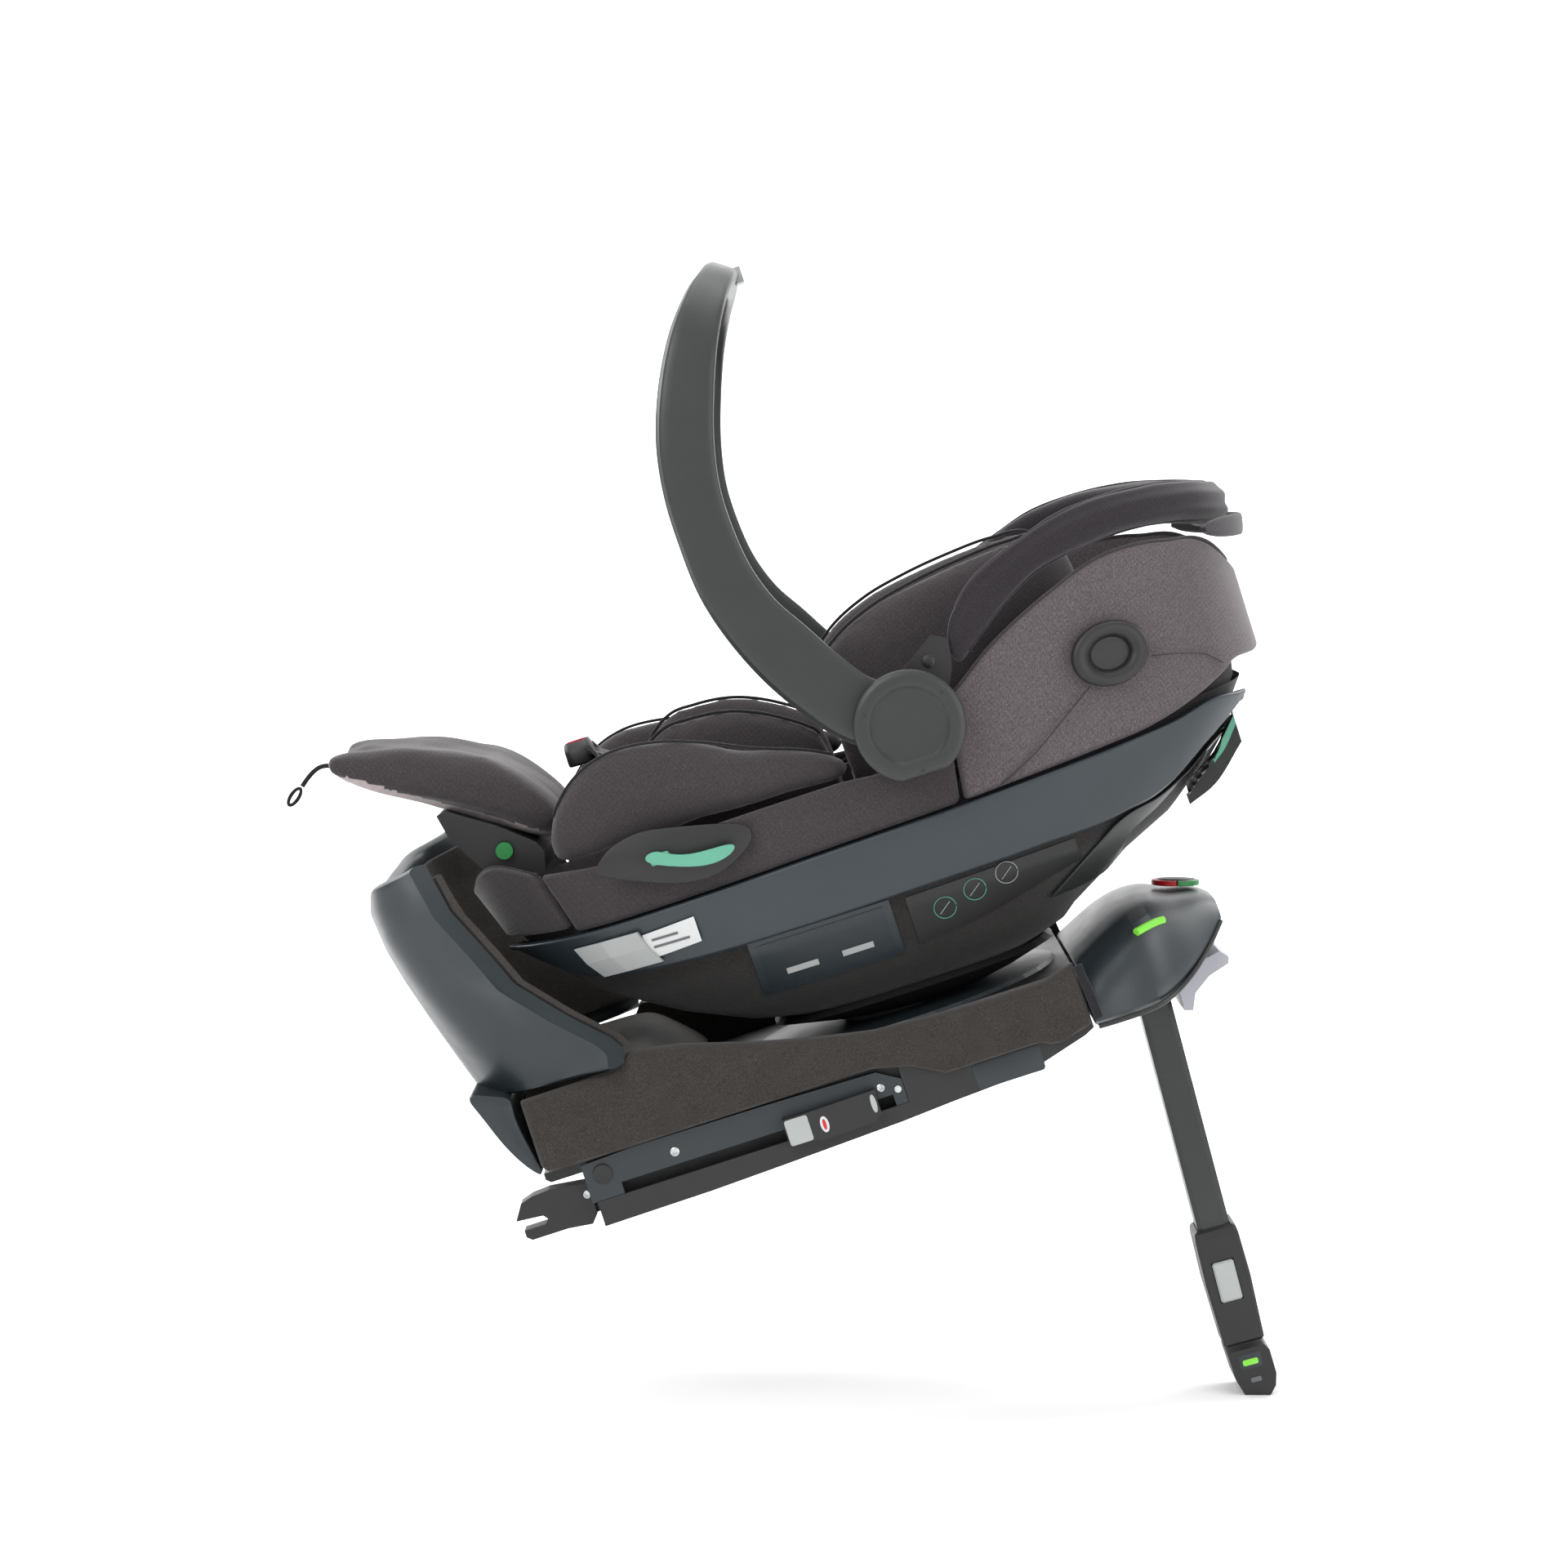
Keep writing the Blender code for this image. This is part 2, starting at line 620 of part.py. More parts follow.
def wall_y(x, z, outset):
    """How far out the wall stands at x and z, measured across."""
    share = min(abs(x - along(BOWL_MIDDLE, z)) / (CARRIER_HALF_LENGTH * along(BOWL_LENGTH, z)), 0.999)
    turn = math.degrees(math.acos(share**1.5))
    nx, ny, _ = wall_point(turn, z, 1.0)
    bx, by, _ = wall_point(turn, z, 0.0)
    return by + outset / max(ny - by, 0.2)


def bowl(levels, outer, inner, rim=None):
    """A closed bowl: rings up its outside to the rim and down its inside. Each wall is (outset, rise)."""
    outside = [[wall_point(a, z, outer[0], outer[1]) for a in TURNS] for z in levels]
    inside = [[wall_point(a, z, inner[0], inner[1]) for a in TURNS] for z in levels]
    if rim:
        for wall, outset in ((outside, outer[0]), (inside, inner[0])):
            top = [along(rim, wall_point(a, 250, outset)[0]) for a in TURNS]
            wall.append([(*wall_point(a, z, outset)[:2], z) for a, z in zip(TURNS, top)])
    return loft(outside + inside[::-1])


cradle = solid(
    "cradle",
    bowl([68, 75, 84], (7.0, -6.0), (1.5, -1.5)),
    "black_plastic",
    turntable_holder,
)
solid(
    "turntable",
    standing((SWIVEL_X, 0.0), [(SWIVEL_RADIUS, CASING_TOP + GAP), (SWIVEL_RADIUS - 2, CASING_TOP + 3.6)], 36),
    "blue_black_plastic",
    turntable_holder,
)

# ---------------------------------------------------------------- the carrier's shell, rails and covers
carrier = holder("carrier_lift", (SWIVEL_X, 0.0, CASING_TOP + 10), turntable_holder)

solid(
    "carrier_tub",
    bowl([68, 75, 90, 115, 150, 180, 210, 236], (0.0, 0.0), (-SHELL, SHELL), RIM),
    "felt",
    carrier,
)

RAIL_LOW = [
    (45, 205), (60, 187), (75, 174), (90, 168), (110, 165), (160, 162.5), (260, 161.5), (400, 163), (500, 164.5),
    (577, 168), (610, 176), (625, 190), (655, 218),
]  # fmt: skip
RAIL_HIGH = [(45, 210), (100, 208), (200, 210), (300, 213), (450, 217), (560, 222), (600, 225), (630, 231), (655, 227)]


def skin(turns, low, high, inner, outer, crown=0.0, read_at=210, rows=2):
    """A strip of the carrier's wall between two outsets and two heights read from tables."""
    rings = []
    for turn in turns:
        x = wall_point(turn, read_at, outer)[0]
        z0, z1 = along(low, x), along(high, x)
        levels = [z0 + (z1 - z0) * i / rows for i in range(rows + 1)]
        bulges = [crown * 4 * (i / rows) * (1 - i / rows) for i in range(rows + 1)]
        outside = [wall_point(turn, z, outer + bulge) for z, bulge in zip(levels, bulges)]
        inside = [wall_point(turn, z, inner) for z in levels]
        rings.append(outside + inside[::-1])
    return loft(rings)


def between(first, last):
    """The shell's own stations between two turns, so that what covers it follows its facets."""
    signed = [turn - 360 if first < 0 and turn > 180 else turn for turn in TURNS]
    return sorted({first, last} | {turn for turn in signed if first < turn < last})


def sided(side, turns):
    return [side * turn for turn in turns]


def level(z):
    return [(0, z)]


def raised(table, by):
    return [(x, z + by) for x, z in table]


SKIRT_TOP = [(20, 250), (27, 262), (95, 261), (130, 257), (240, 261), (330, 262), (400, 262), (450, 290)]
HEAD_TOP = [(440, 300), (480, 326), (540, 353), (590, 367), (640, 362), (680, 344), (697, 316)]
NOSE_SHELL_TOP = [(520, 128), (577, 164), (610, 172), (625, 184), (640, 200), (656, 214), (662, 248)]

for label, side in SIDES:
    solid(
        f"rail_{label}",
        skin(sided(side, between(18, 168)), RAIL_LOW, RAIL_HIGH, WALL_GAP, RAIL, 2.0),
        "rail_plastic",
        carrier,
    )
    solid(
        f"side_cover_{label}",
        skin(sided(side, between(63, 138)), raised(RAIL_HIGH, WALL_GAP), SKIRT_TOP, WALL_GAP, COVER, 1.0, 240),
        "seat_fabric",
        carrier,
    )
    slider_holder = holder(f"swivel_slider_{label}_slide", wall_point(side * 130, 185, RAIL), carrier)
    solid(
        f"swivel_slider_{label}",
        skin(sided(side, between(123, 139)), level(169), level(198), RAIL + 3.0, RAIL + 6.5),
        "light_grey_plastic",
        slider_holder,
    )
solid(
    "foot_cover",
    skin(between(139, 221), raised(RAIL_HIGH, 6), SKIRT_TOP, WALL_GAP, COVER, 1.0, 240),
    "seat_fabric",
    carrier,
)
solid(
    "head_cover",
    skin(between(-62, 62), raised(RAIL_HIGH, 22 + GAP), HEAD_TOP, WALL_GAP, COVER, 2.0, 250),
    "heather_fabric",
    carrier,
)
solid(
    "head_end_shell",
    skin(between(-52, 52), level(117), NOSE_SHELL_TOP, WALL_GAP + 2.2, 8.2, 0.0, 200, 6),
    "charcoal_plastic",
    carrier,
)

# ---------------------------------------------------------------- belt hooks and grommets on the sides
HOOK_BED = [
    (130, 252), (132, 257), (145, 268), (160, 273), (178, 275), (200, 270), (240, 261), (258, 254), (258, 240),
    (235, 226), (215, 222), (190, 226), (160, 238),
]  # fmt: skip
HOOK_TONGUE = [
    (172, 253), (176, 257), (185, 256), (198, 248), (215, 245), (241, 245), (243, 242), (240, 236), (225, 233),
    (210, 235), (195, 240), (178, 248),
]  # fmt: skip
GROMMET = (570.0, 293.0)


def on_wall(centre, side, profile, sides, stretch):
    """Oval rings lying on the carrier's wall, one for each (radius, outset)."""
    rings = []
    for radius, outset in profile:
        ring = []
        for i in range(sides):
            a = 2 * math.pi * i / sides
            x, z = centre[0] + stretch * radius * math.cos(a), centre[1] + radius * math.sin(a)
            ring.append((x, side * wall_y(x, z, outset), z))
        rings.append(ring)
    return loft(rings)


hook_face = COVER_FACE + 1.6
for label, side in SIDES:
    guide = solid(
        f"belt_guide_{label}",
        prism(HOOK_BED, side * hook_face, side * (hook_face + 4.0)),
        "teal_plastic",
        carrier,
    )
    root = block((176, 192), (side * (hook_face + 2.0), side * (hook_face + 12.0)), (248, 254))
    cut(guide, f"belt_hook_root_{label}", root, carrier, "UNION")
    tongue = prism(HOOK_TONGUE, side * (hook_face + 10.0), side * (hook_face + 14.0))
    cut(guide, f"belt_hook_tongue_{label}", tongue, carrier, "UNION")
    grommet = solid(
        f"grommet_{label}",
        on_wall(GROMMET, side, [(25.5, COVER + 3.5), (25.5, COVER + 10), (22, COVER + 13)], 24, 1.25),
        "black_plastic",
        carrier,
    )
    cut(
        grommet,
        f"grommet_hollow_{label}",
        on_wall(GROMMET, side, [(12.5, COVER + 5.5), (13.5, COVER + 25)], 20, 1.2),
        carrier,
    )

# ---------------------------------------------------------------- soft goods inside the carrier
LINER_LEVELS = [(188, 0.66, 0.56), (196, 0.76, 0.70), (215, 0.84, 0.84), (240, 0.88, 0.88)]


def liner_ring(share_x, share_y, z, inset, rim=False):
    ring = []
    for turn in TURNS:
        x, y, _ = wall_point(turn, 250, 0.0)
        px = CARRIER_MIDDLE + (x - CARRIER_MIDDLE) * (share_x - inset / CARRIER_HALF_LENGTH)
        py = y * (share_y - inset / CARRIER_HALF_WIDTH)
        ring.append((px, py, along(RIM, px) - 4 if rim else z))
    return ring


LINER_THICK = 13.0
outside = [liner_ring(sx, sy, z, 0.0) for z, sx, sy in LINER_LEVELS]
outside.append(liner_ring(0.965, 0.955, 0, 0.0, True))
inside = [liner_ring(sx, sy, z + LINER_THICK, LINER_THICK) for z, sx, sy in LINER_LEVELS[:3]]
inside.append(liner_ring(0.965, 0.955, 0, LINER_THICK, True))
solid("seat_liner", loft(outside + inside[::-1]), "seat_fabric", carrier)

BOLSTER_TOP = [(100, 290), (112, 306), (125, 320), (145, 333), (165, 339), (200, 338), (240, 326), (275, 310), (330, 288), (350, 276)]
for label, side in SIDES:
    rings = []
    for x in (102, 115, 140, 175, 215, 255, 300, 345):
        top = along(BOLSTER_TOP, x)
        share = 1 - abs((x - CARRIER_MIDDLE) / CARRIER_HALF_LENGTH) ** 3
        middle = CARRIER_HALF_WIDTH * share ** (1 / 3) - 16
        low = 264.5
        tall = top - low
        section = [
            (-11, 0.0), (-19, 0.25), (-16, 0.65), (-5, 0.95), (5, 1.0), (16, 0.70), (20, 0.30), (12, 0.0),
        ]  # fmt: skip
        rings.append([(x, side * (middle + y), low + share_ * tall) for y, share_ in section])
    solid(f"side_bolster_{label}", loft(rings), "seat_fabric", carrier)


def trough(stations):
    """A padded U across the seat: each station is (x, outer, inner, bottom, floor, top)."""
    rings = []
    for x, outer, inner, bottom, floor, top in stations:
        right = [
            (0.0, bottom), (0.7 * outer, bottom), (0.95 * outer, bottom + 20), (outer, (bottom + top) / 2),
            (outer - 6, top - 4), ((outer + inner) / 2, top), (inner + 3, top - 5), (inner, (floor + top) / 2),
            (0.85 * inner, floor + 10), (0.6 * inner, floor), (0.0, floor),
        ]  # fmt: skip
        left = [(-y, z) for y, z in right[1:-1]]
        rings.append([(x, y, z) for y, z in right + left[::-1]])
    return loft(rings)


solid(
    "infant_insert",
    trough(
        [
            (172, 96, 78, 212, 226, 300), (195, 108, 82, 206, 222, 332), (235, 114, 84, 204, 220, 344),
            (275, 116, 84, 204, 220, 338), (315, 116, 84, 206, 222, 318), (338, 114, 86, 210, 224, 300),
        ]  # fmt: skip
    ),
    "seat_fabric",
    carrier,
)
headrest_slide = holder("headrest_slide", (350.0, 0.0, 230.0), carrier)
solid(
    "headrest",
    trough(
        [
            (346, 134, 98, 222, 240, 356), (372, 138, 98, 218, 240, 374), (400, 140, 98, 218, 242, 386),
            (440, 139, 96, 220, 244, 395), (480, 134, 92, 222, 248, 400), (520, 118, 84, 228, 256, 402),
            (550, 95, 62, 236, 264, 398), (570, 68, 42, 246, 278, 380),
        ]  # fmt: skip
    ),
    "seat_fabric",
    headrest_slide,
)

# ---------------------------------------------------------------- the leg rest, its button and its pull
leg_rest = holder("leg_rest_pivot", (LEG_REST_PIVOT[0], 0.0, LEG_REST_PIVOT[1]), carrier)
REST_TOP = [(112, 301), (109, 313), (89, 343), (68, 364), (43, 379), (12, 391), (-18, 397), (-52, 404)]
REST_UNDER = [(-50, 386), (-18, 361), (12, 343), (38, 328), (61, 311), (84, 292), (99, 286)]
VALLEY = 16.0
rings = []
for share in (-1.0, -0.85, -0.45, 0.0, 0.45, 0.85, 1.0):
    dip = VALLEY * (1 - share * share)
    crest = 8.0 if abs(share) < 1 else 0.0
    outline = [(x + 0.5 * dip * (x > 60), z + crest - dip * (z > 312)) for x, z in REST_TOP]
    toe = 0.4 * dip
    rings.append([(x - toe * (x < -40), share * LEG_REST_HALF_WIDTH, z) for x, z in outline + REST_UNDER])
solid("leg_rest_cushion", loft(rings), "seat_fabric", leg_rest)
SUPPORT = [(25, 332), (61, 308), (87, 286), (91, 276), (87, 261), (75, 257), (53, 264), (39, 278), (21, 310), (17, 330)]
support_half = LEG_REST_HALF_WIDTH - 12
support = solid("leg_rest_support", prism(SUPPORT, -support_half, support_half), "black_plastic", leg_rest)
pin_bore = [(LEG_REST_PIN + PIN_PLAY, y) for y in (-support_half - 5, support_half + 5)]
cut(support, "leg_rest_pin_bore", disc(LEG_REST_PIVOT, pin_bore, 24), leg_rest)
pin = [(LEG_REST_PIN, y) for y in (-support_half - 6, support_half + 6)]
solid("leg_rest_pin", disc(LEG_REST_PIVOT, pin, 24), "green_plastic", carrier)

CORD_POINTS = [(-59.2, 391), (-65, 393.5), (-71, 394), (-77, 392), (-83, 388.5), (-89.5, 383.5)]


def smooth_route(points, count):
    """A Catmull-Rom curve through the points, cut into even shares of its parameter."""
    ends = [points[0]] + points + [points[-1]]
    route = []
    for i in range(count + 1):
        at = i * (len(points) - 1) / count
        k = min(int(at), len(points) - 2)
        t = at - k
        a, b, c, d = ends[k : k + 4]
        route.append(
            tuple(
                0.5 * (2 * q + (r - p) * t + (2 * p - 5 * q + 4 * r - s) * t * t + (3 * q - p - 3 * r + s) * t**3)
                for p, q, r, s in zip(a, b, c, d)
            )
        )
    return route


def flat_loop(centre, long_, wide, thick, tilt):
    """An open eye of cord: a flat ring in X and Z."""
    rings = []
    for i in range(16):
        a = 2 * math.pi * i / 16
        ring = []
        for j in range(6):
            b = 2 * math.pi * j / 6
            reach = thick * math.cos(b)
            u = (long_ + reach) * math.cos(a)
            v = (wide + reach) * math.sin(a)
            x = centre[0] + u * math.cos(tilt) - v * math.sin(tilt)
            z = centre[1] + u * math.sin(tilt) + v * math.cos(tilt)
            ring.append((x, thick * math.sin(b), z))
        rings.append(ring)
    points, faces = loft(rings)
    faces = faces[:-2]
    last = 15 * 6
    for j in range(6):
        k = (j + 1) % 6
        faces.append((last + j, last + k, k, j))
    return points, faces


cord = bpy.data.curves.new("adjuster_cord", "CURVE")
cord.dimensions = "3D"
cord.bevel_depth = CORD_RADIUS * MM
cord.bevel_resolution = 2
cord.use_fill_caps = True
line = cord.splines.new("POLY")
route = smooth_route(CORD_POINTS, 12)
line.points.add(len(route) - 1)
for point, (x, z) in zip(line.points, route):
    point.co = ((x - LEG_REST_PIVOT[0]) * MM, 0.0, (z - LEG_REST_PIVOT[1]) * MM, 1.0)
cord.materials.append(finish("webbing"))
cord_piece = bpy.data.objects.new("adjuster_cord", cord)
cord_piece.parent = leg_rest
bpy.context.scene.collection.objects.link(cord_piece)
solid("adjuster_pull", flat_loop((-98.2, 377.2), 8.0, 3.2, 1.6, math.radians(38)), "webbing", leg_rest)

# ---------------------------------------------------------------- the harness
solid("harness_buckle", block((126, 150), (-21, 21), (330, 345)), "black_plastic", carrier, bevel=2.5)
buckle_button = holder("buckle_button_press", (138.0, 0.0, 345.0), carrier)
solid("buckle_button", block((131, 145), (-10, 10), (345 + 3.4, 345 + 5.4)), "red_plastic", buckle_button)
solid(
    "crotch_strap",
    loft([[(x - 1.5, y, z) for x, y in ((x0, -15), (x0 + 3, -15), (x0 + 3, 15), (x0, 15))] for x0, z in ((150, 214), (146, 260), (139, 300), (136, 329.6))]),
    "webbing",
    carrier,
)

# ---------------------------------------------------------------- hubs, handle and canopy
for label, side in SIDES:
    solid(
        f"hub_base_{label}",
        disc(
            HUB,
            [
                (24, side * (COVER_FACE + GAP)), (24, side * (CANOPY_OUTER + GAP)), (40, side * (CANOPY_OUTER + GAP)),
                (40, side * FLANGE_OUTER),
            ],  # fmt: skip
            28,
        ),
        "black_plastic",
        carrier,
    )
    solid(
        f"hub_cap_{label}",
        disc(
            HUB,
            [
                (HUB_BORE, side * (HANDLE_INNER + GAP)), (HUB_BORE, side * (HANDLE_OUTER + GAP)),
                (HUB_RADIUS, side * (HANDLE_OUTER + GAP)), (HUB_RADIUS, side * (HANDLE_OUTER + HUB_CAP - 4)),
                (HUB_RADIUS - 5, side * (HANDLE_OUTER + HUB_CAP)), (30, side * (HANDLE_OUTER + HUB_CAP - 1)),
            ],  # fmt: skip
            32,
        ),
        "charcoal_plastic",
        carrier,
    )

handle_pivot = holder("handle_pivot", (HUB[0], 0.0, HUB[1]), carrier)
# Rows of (x, share of the rise above the hub, half width, share of the way across, half thickness).
HANDLE_ROWS = [
    (385, 0.030, 27, 1.0, 0.5), (368, 0.060, 27, 1.0, 0.5), (346, 0.130, 27, 1.0, 0.5), (326, 0.215, 27, 1.0, 0.5),
    (311, 0.290, 24.7, 1.0, 0.5),
    (301, 0.370, 23.5, 1.0, 0.5), (296.5, 0.480, 22.3, 1.0, 0.5), (297, 0.570, 22.3, 0.998, 0.5),
    (303, 0.660, 22.8, 0.99, 0.52), (317, 0.765, 22.0, 0.965, 0.56), (335, 0.860, 19.5, 0.91, 0.62),
    (352, 0.925, 16.5, 0.80, 0.70), (363, 0.957, 14.5, 0.62, 0.80), (367.5, 0.968, 13.5, 0.38, 0.88), (368.5, 0.970, 13.0, 0.13, 0.90),
]  # fmt: skip


def handle_rings():
    half = [(x, share * HANDLE_MIDDLE, HUB[1] + rise * HANDLE_RISE, w, t * HANDLE_THICK) for x, rise, w, share, t in HANDLE_ROWS]
    rows = half + [(x, -y, z, w, t) for x, y, z, w, t in half[::-1]]
    rings = []
    for i, (x, y, z, wide, thick) in enumerate(rows):
        before, after = rows[max(i - 1, 0)], rows[min(i + 1, len(rows) - 1)]
        tangent = [after[k] - before[k] for k in range(3)]
        size = math.hypot(*tangent)
        tangent = [value / size for value in tangent]
        mirror = 2 * len(half) - 1 - i
        j = min(i, mirror)
        low, high = half[max(j - 1, 0)], half[min(j + 1, len(half) - 1)]
        rise = math.hypot(high[0] - low[0], high[2] - low[2])
        across = ((high[2] - low[2]) / rise, 0.0, -(high[0] - low[0]) / rise)
        # At the crown the width direction stays that of the arm below it.
        deep = [
            tangent[1] * across[2] - tangent[2] * across[1],
            tangent[2] * across[0] - tangent[0] * across[2],
            tangent[0] * across[1] - tangent[1] * across[0],
        ]
        size = math.hypot(*deep)
        deep = [value / size for value in deep]
        corners = [(1, 0.45), (0.75, 1), (-0.75, 1), (-1, 0.45), (-1, -0.45), (-0.75, -1), (0.75, -1), (1, -0.45)]
        rings.append(
            [
                (
                    x + wide * u * across[0] + thick * v * deep[0],
                    y + wide * u * across[1] + thick * v * deep[1],
                    z + wide * u * across[2] + thick * v * deep[2],
                )
                for u, v in corners
            ]
        )
    return rings


handle = solid("carry_handle", loft(handle_rings()), "charcoal_plastic", handle_pivot)
for label, side in SIDES:
    eye = [(40, side * HANDLE_INNER), (40, side * HANDLE_OUTER)]
    cut(handle, f"handle_eye_{label}", disc(HUB, eye, 28), handle_pivot, "UNION")
    bore = [(HUB_BORE + RUNNING, side * (HANDLE_INNER - 5)), (HUB_BORE + RUNNING, side * (HANDLE_OUTER + 5))]
    cut(handle, f"handle_bore_{label}", disc(HUB, bore, 24), handle_pivot)
crown_x, crown_z = 368.5, HUB[1] + 0.970 * HANDLE_RISE
BUTTON_HALF = 26.0
cut(
    handle,
    "handle_button_pocket",
    block((crown_x + 8, crown_x + 40), (-BUTTON_HALF - 0.8, BUTTON_HALF + 0.8), (crown_z - 8.4, crown_z + 6.4)),
    handle_pivot,
)
handle_button = holder("handle_button_press", (crown_x + 12, 0.0, crown_z), handle_pivot)
solid(
    "handle_button",
    block((crown_x + 12, crown_x + 18.5), (-BUTTON_HALF, BUTTON_HALF), (crown_z - 7.6, crown_z + 5.6)),
    "light_grey_plastic",
    handle_button,
)

canopy_pivot = holder("canopy_pivot", (HUB[0], 0.0, HUB[1]), carrier)
for label, side in SIDES:
    arm_outline = [(402, 262), (432, 290), (448, 322), (452, 344), (440, 351), (410, 331), (374, 300), (380, 268)]
    arm = solid(
        f"canopy_arm_{label}",
        prism(arm_outline, side * CANOPY_INNER, side * CANOPY_OUTER),
        "black_plastic",
        canopy_pivot,
    )
    cut(
        arm,
        f"canopy_arm_bore_{label}",
        disc(HUB, [(24 + RUNNING, side * (CANOPY_INNER - 5)), (24 + RUNNING, side * (CANOPY_OUTER + 5))], 28),
        canopy_pivot,
    )
# Rows of (x, z low, z high, distance from the middle plane, thickness) along one side of the folded canopy.
CANOPY_ROWS = [
    (454, 322, 356, 1.0, 12), (480, 340, 380, 0.995, 16), (500, 354, 390, 0.985, 18), (530, 370, 400, 0.965, 20),
    (560, 377, 409, 0.93, 24), (602, 380, 412, 0.85, 28), (645, 377, 409, 0.72, 32), (682, 368, 401, 0.52, 34),
    (702, 362, 395, 0.28, 34), (708, 358, 391, 0.0, 34),
]  # fmt: skip


def canopy_rings():
    face = CANOPY_OUTER - 0.6
    half = [(x, share * face, low, high, thick) for x, low, high, share, thick in CANOPY_ROWS]
    rows = half + [(x, -y, low, high, thick) for x, y, low, high, thick in half[-2::-1]]
    rings = []
    for i, (x, y, low, high, thick) in enumerate(rows):
        before, after = rows[max(i - 1, 0)], rows[min(i + 1, len(rows) - 1)]
        tangent = (after[0] - before[0], after[1] - before[1])
        size = math.hypot(*tangent)
        inward = (tangent[1] / size * -1, tangent[0] / size)
        if inward[0] * (CARRIER_MIDDLE - x) + inward[1] * -y < 0:
            inward = (-inward[0], -inward[1])
        tall = high - low
        section = [
            (0.0, low + 0.25 * tall), (0.0, high - 0.25 * tall), (0.3, high), (0.75, high), (1.0, high - 0.3 * tall),
            (1.0, low + 0.3 * tall), (0.7, low), (0.25, low),
        ]  # fmt: skip
        rings.append([(x + inward[0] * u * thick, y + inward[1] * u * thick, z) for u, z in section])
    return rings


solid("canopy_fabric", loft(canopy_rings()), "canopy_fabric", canopy_pivot)
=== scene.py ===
# %% [markdown]
# # An infant car seat, dressed around its CAD frame
# The CAD model fixes every size and every joint. This script only gives it its looks: smooth
# moulded skins, stuffed fabric, webbing and small trim. The first step is to load that frame and
# keep its box.

# %% Load the frame
import math

import bmesh
import bpy
import numpy as np
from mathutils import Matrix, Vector
from mathutils.bvhtree import BVHTree


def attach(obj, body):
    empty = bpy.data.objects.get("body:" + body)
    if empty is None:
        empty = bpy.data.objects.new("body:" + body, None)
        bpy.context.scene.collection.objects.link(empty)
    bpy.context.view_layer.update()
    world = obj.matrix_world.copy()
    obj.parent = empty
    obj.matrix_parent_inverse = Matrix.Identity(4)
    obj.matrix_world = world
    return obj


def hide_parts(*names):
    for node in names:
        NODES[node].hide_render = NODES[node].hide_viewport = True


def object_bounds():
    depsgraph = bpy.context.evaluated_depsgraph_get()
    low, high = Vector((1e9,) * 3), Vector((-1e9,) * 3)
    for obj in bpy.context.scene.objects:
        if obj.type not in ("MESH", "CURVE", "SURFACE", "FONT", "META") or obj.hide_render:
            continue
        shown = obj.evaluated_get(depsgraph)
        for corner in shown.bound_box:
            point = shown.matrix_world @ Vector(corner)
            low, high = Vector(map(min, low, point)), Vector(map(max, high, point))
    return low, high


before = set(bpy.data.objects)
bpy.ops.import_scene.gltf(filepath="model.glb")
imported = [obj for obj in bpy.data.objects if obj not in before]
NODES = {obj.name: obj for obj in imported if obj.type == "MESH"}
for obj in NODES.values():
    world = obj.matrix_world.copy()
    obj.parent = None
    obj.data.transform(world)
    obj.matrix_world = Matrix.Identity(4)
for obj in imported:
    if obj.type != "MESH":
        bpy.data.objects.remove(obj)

CAD_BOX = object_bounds()
SIDES = (("left", 1), ("right", -1))

# %% [markdown]
# The seat is drawn level, in millimetres: X runs from the foot end to the head end and Z up.
# On the vehicle it leans back by 18 degrees, so each array of points is turned about Y once, as
# a matrix product, and scaled to metres.


# %% From the seat's own frame to the world
PITCH = math.radians(18.0)
TURN = np.array(
    [[math.cos(PITCH), 0, -math.sin(PITCH)], [0, 1, 0], [math.sin(PITCH), 0, math.cos(PITCH)]]
)


def place(points):
    """Points in the seat's level frame (mm) as world points (m): turned 18 degrees about Y."""
    return np.asarray(points, float) @ TURN.T * 0.001


# %% [markdown]
# The camera comes first. It looks square at the seat's right side from a little above, through a
# long lens, as a catalogue picture is taken.

# %% The camera
VIEW_CENTRE = Vector((0.195, -0.19, 0.353))
VIEW_WIDTH = 1.2288
LENS, SENSOR = 100.0, 36.0
ELEVATION = math.radians(4.2)

camera_data = bpy.data.cameras.new("camera")
camera_data.lens, camera_data.sensor_width = LENS, SENSOR
camera_data.clip_end = 50.0
camera = bpy.data.objects.new("camera", camera_data)
distance = VIEW_WIDTH * LENS / SENSOR
camera.location = VIEW_CENTRE + distance * Vector((0, -math.cos(ELEVATION), math.sin(ELEVATION)))
camera.rotation_euler = (math.pi / 2 - ELEVATION, 0, 0)
bpy.context.scene.collection.objects.link(camera)
bpy.context.scene.camera = camera
print(f"camera {distance:.2f} m away")

# %% [markdown]
# The studio is a pale sheet that runs along the floor and curves up behind, which is how
# product pictures lose the horizon. Large area lights keep every shadow soft.


# %% The studio
def look_at(lamp, target):
    lamp.rotation_euler = (Vector(target) - lamp.location).to_track_quat("-Z", "Y").to_euler()


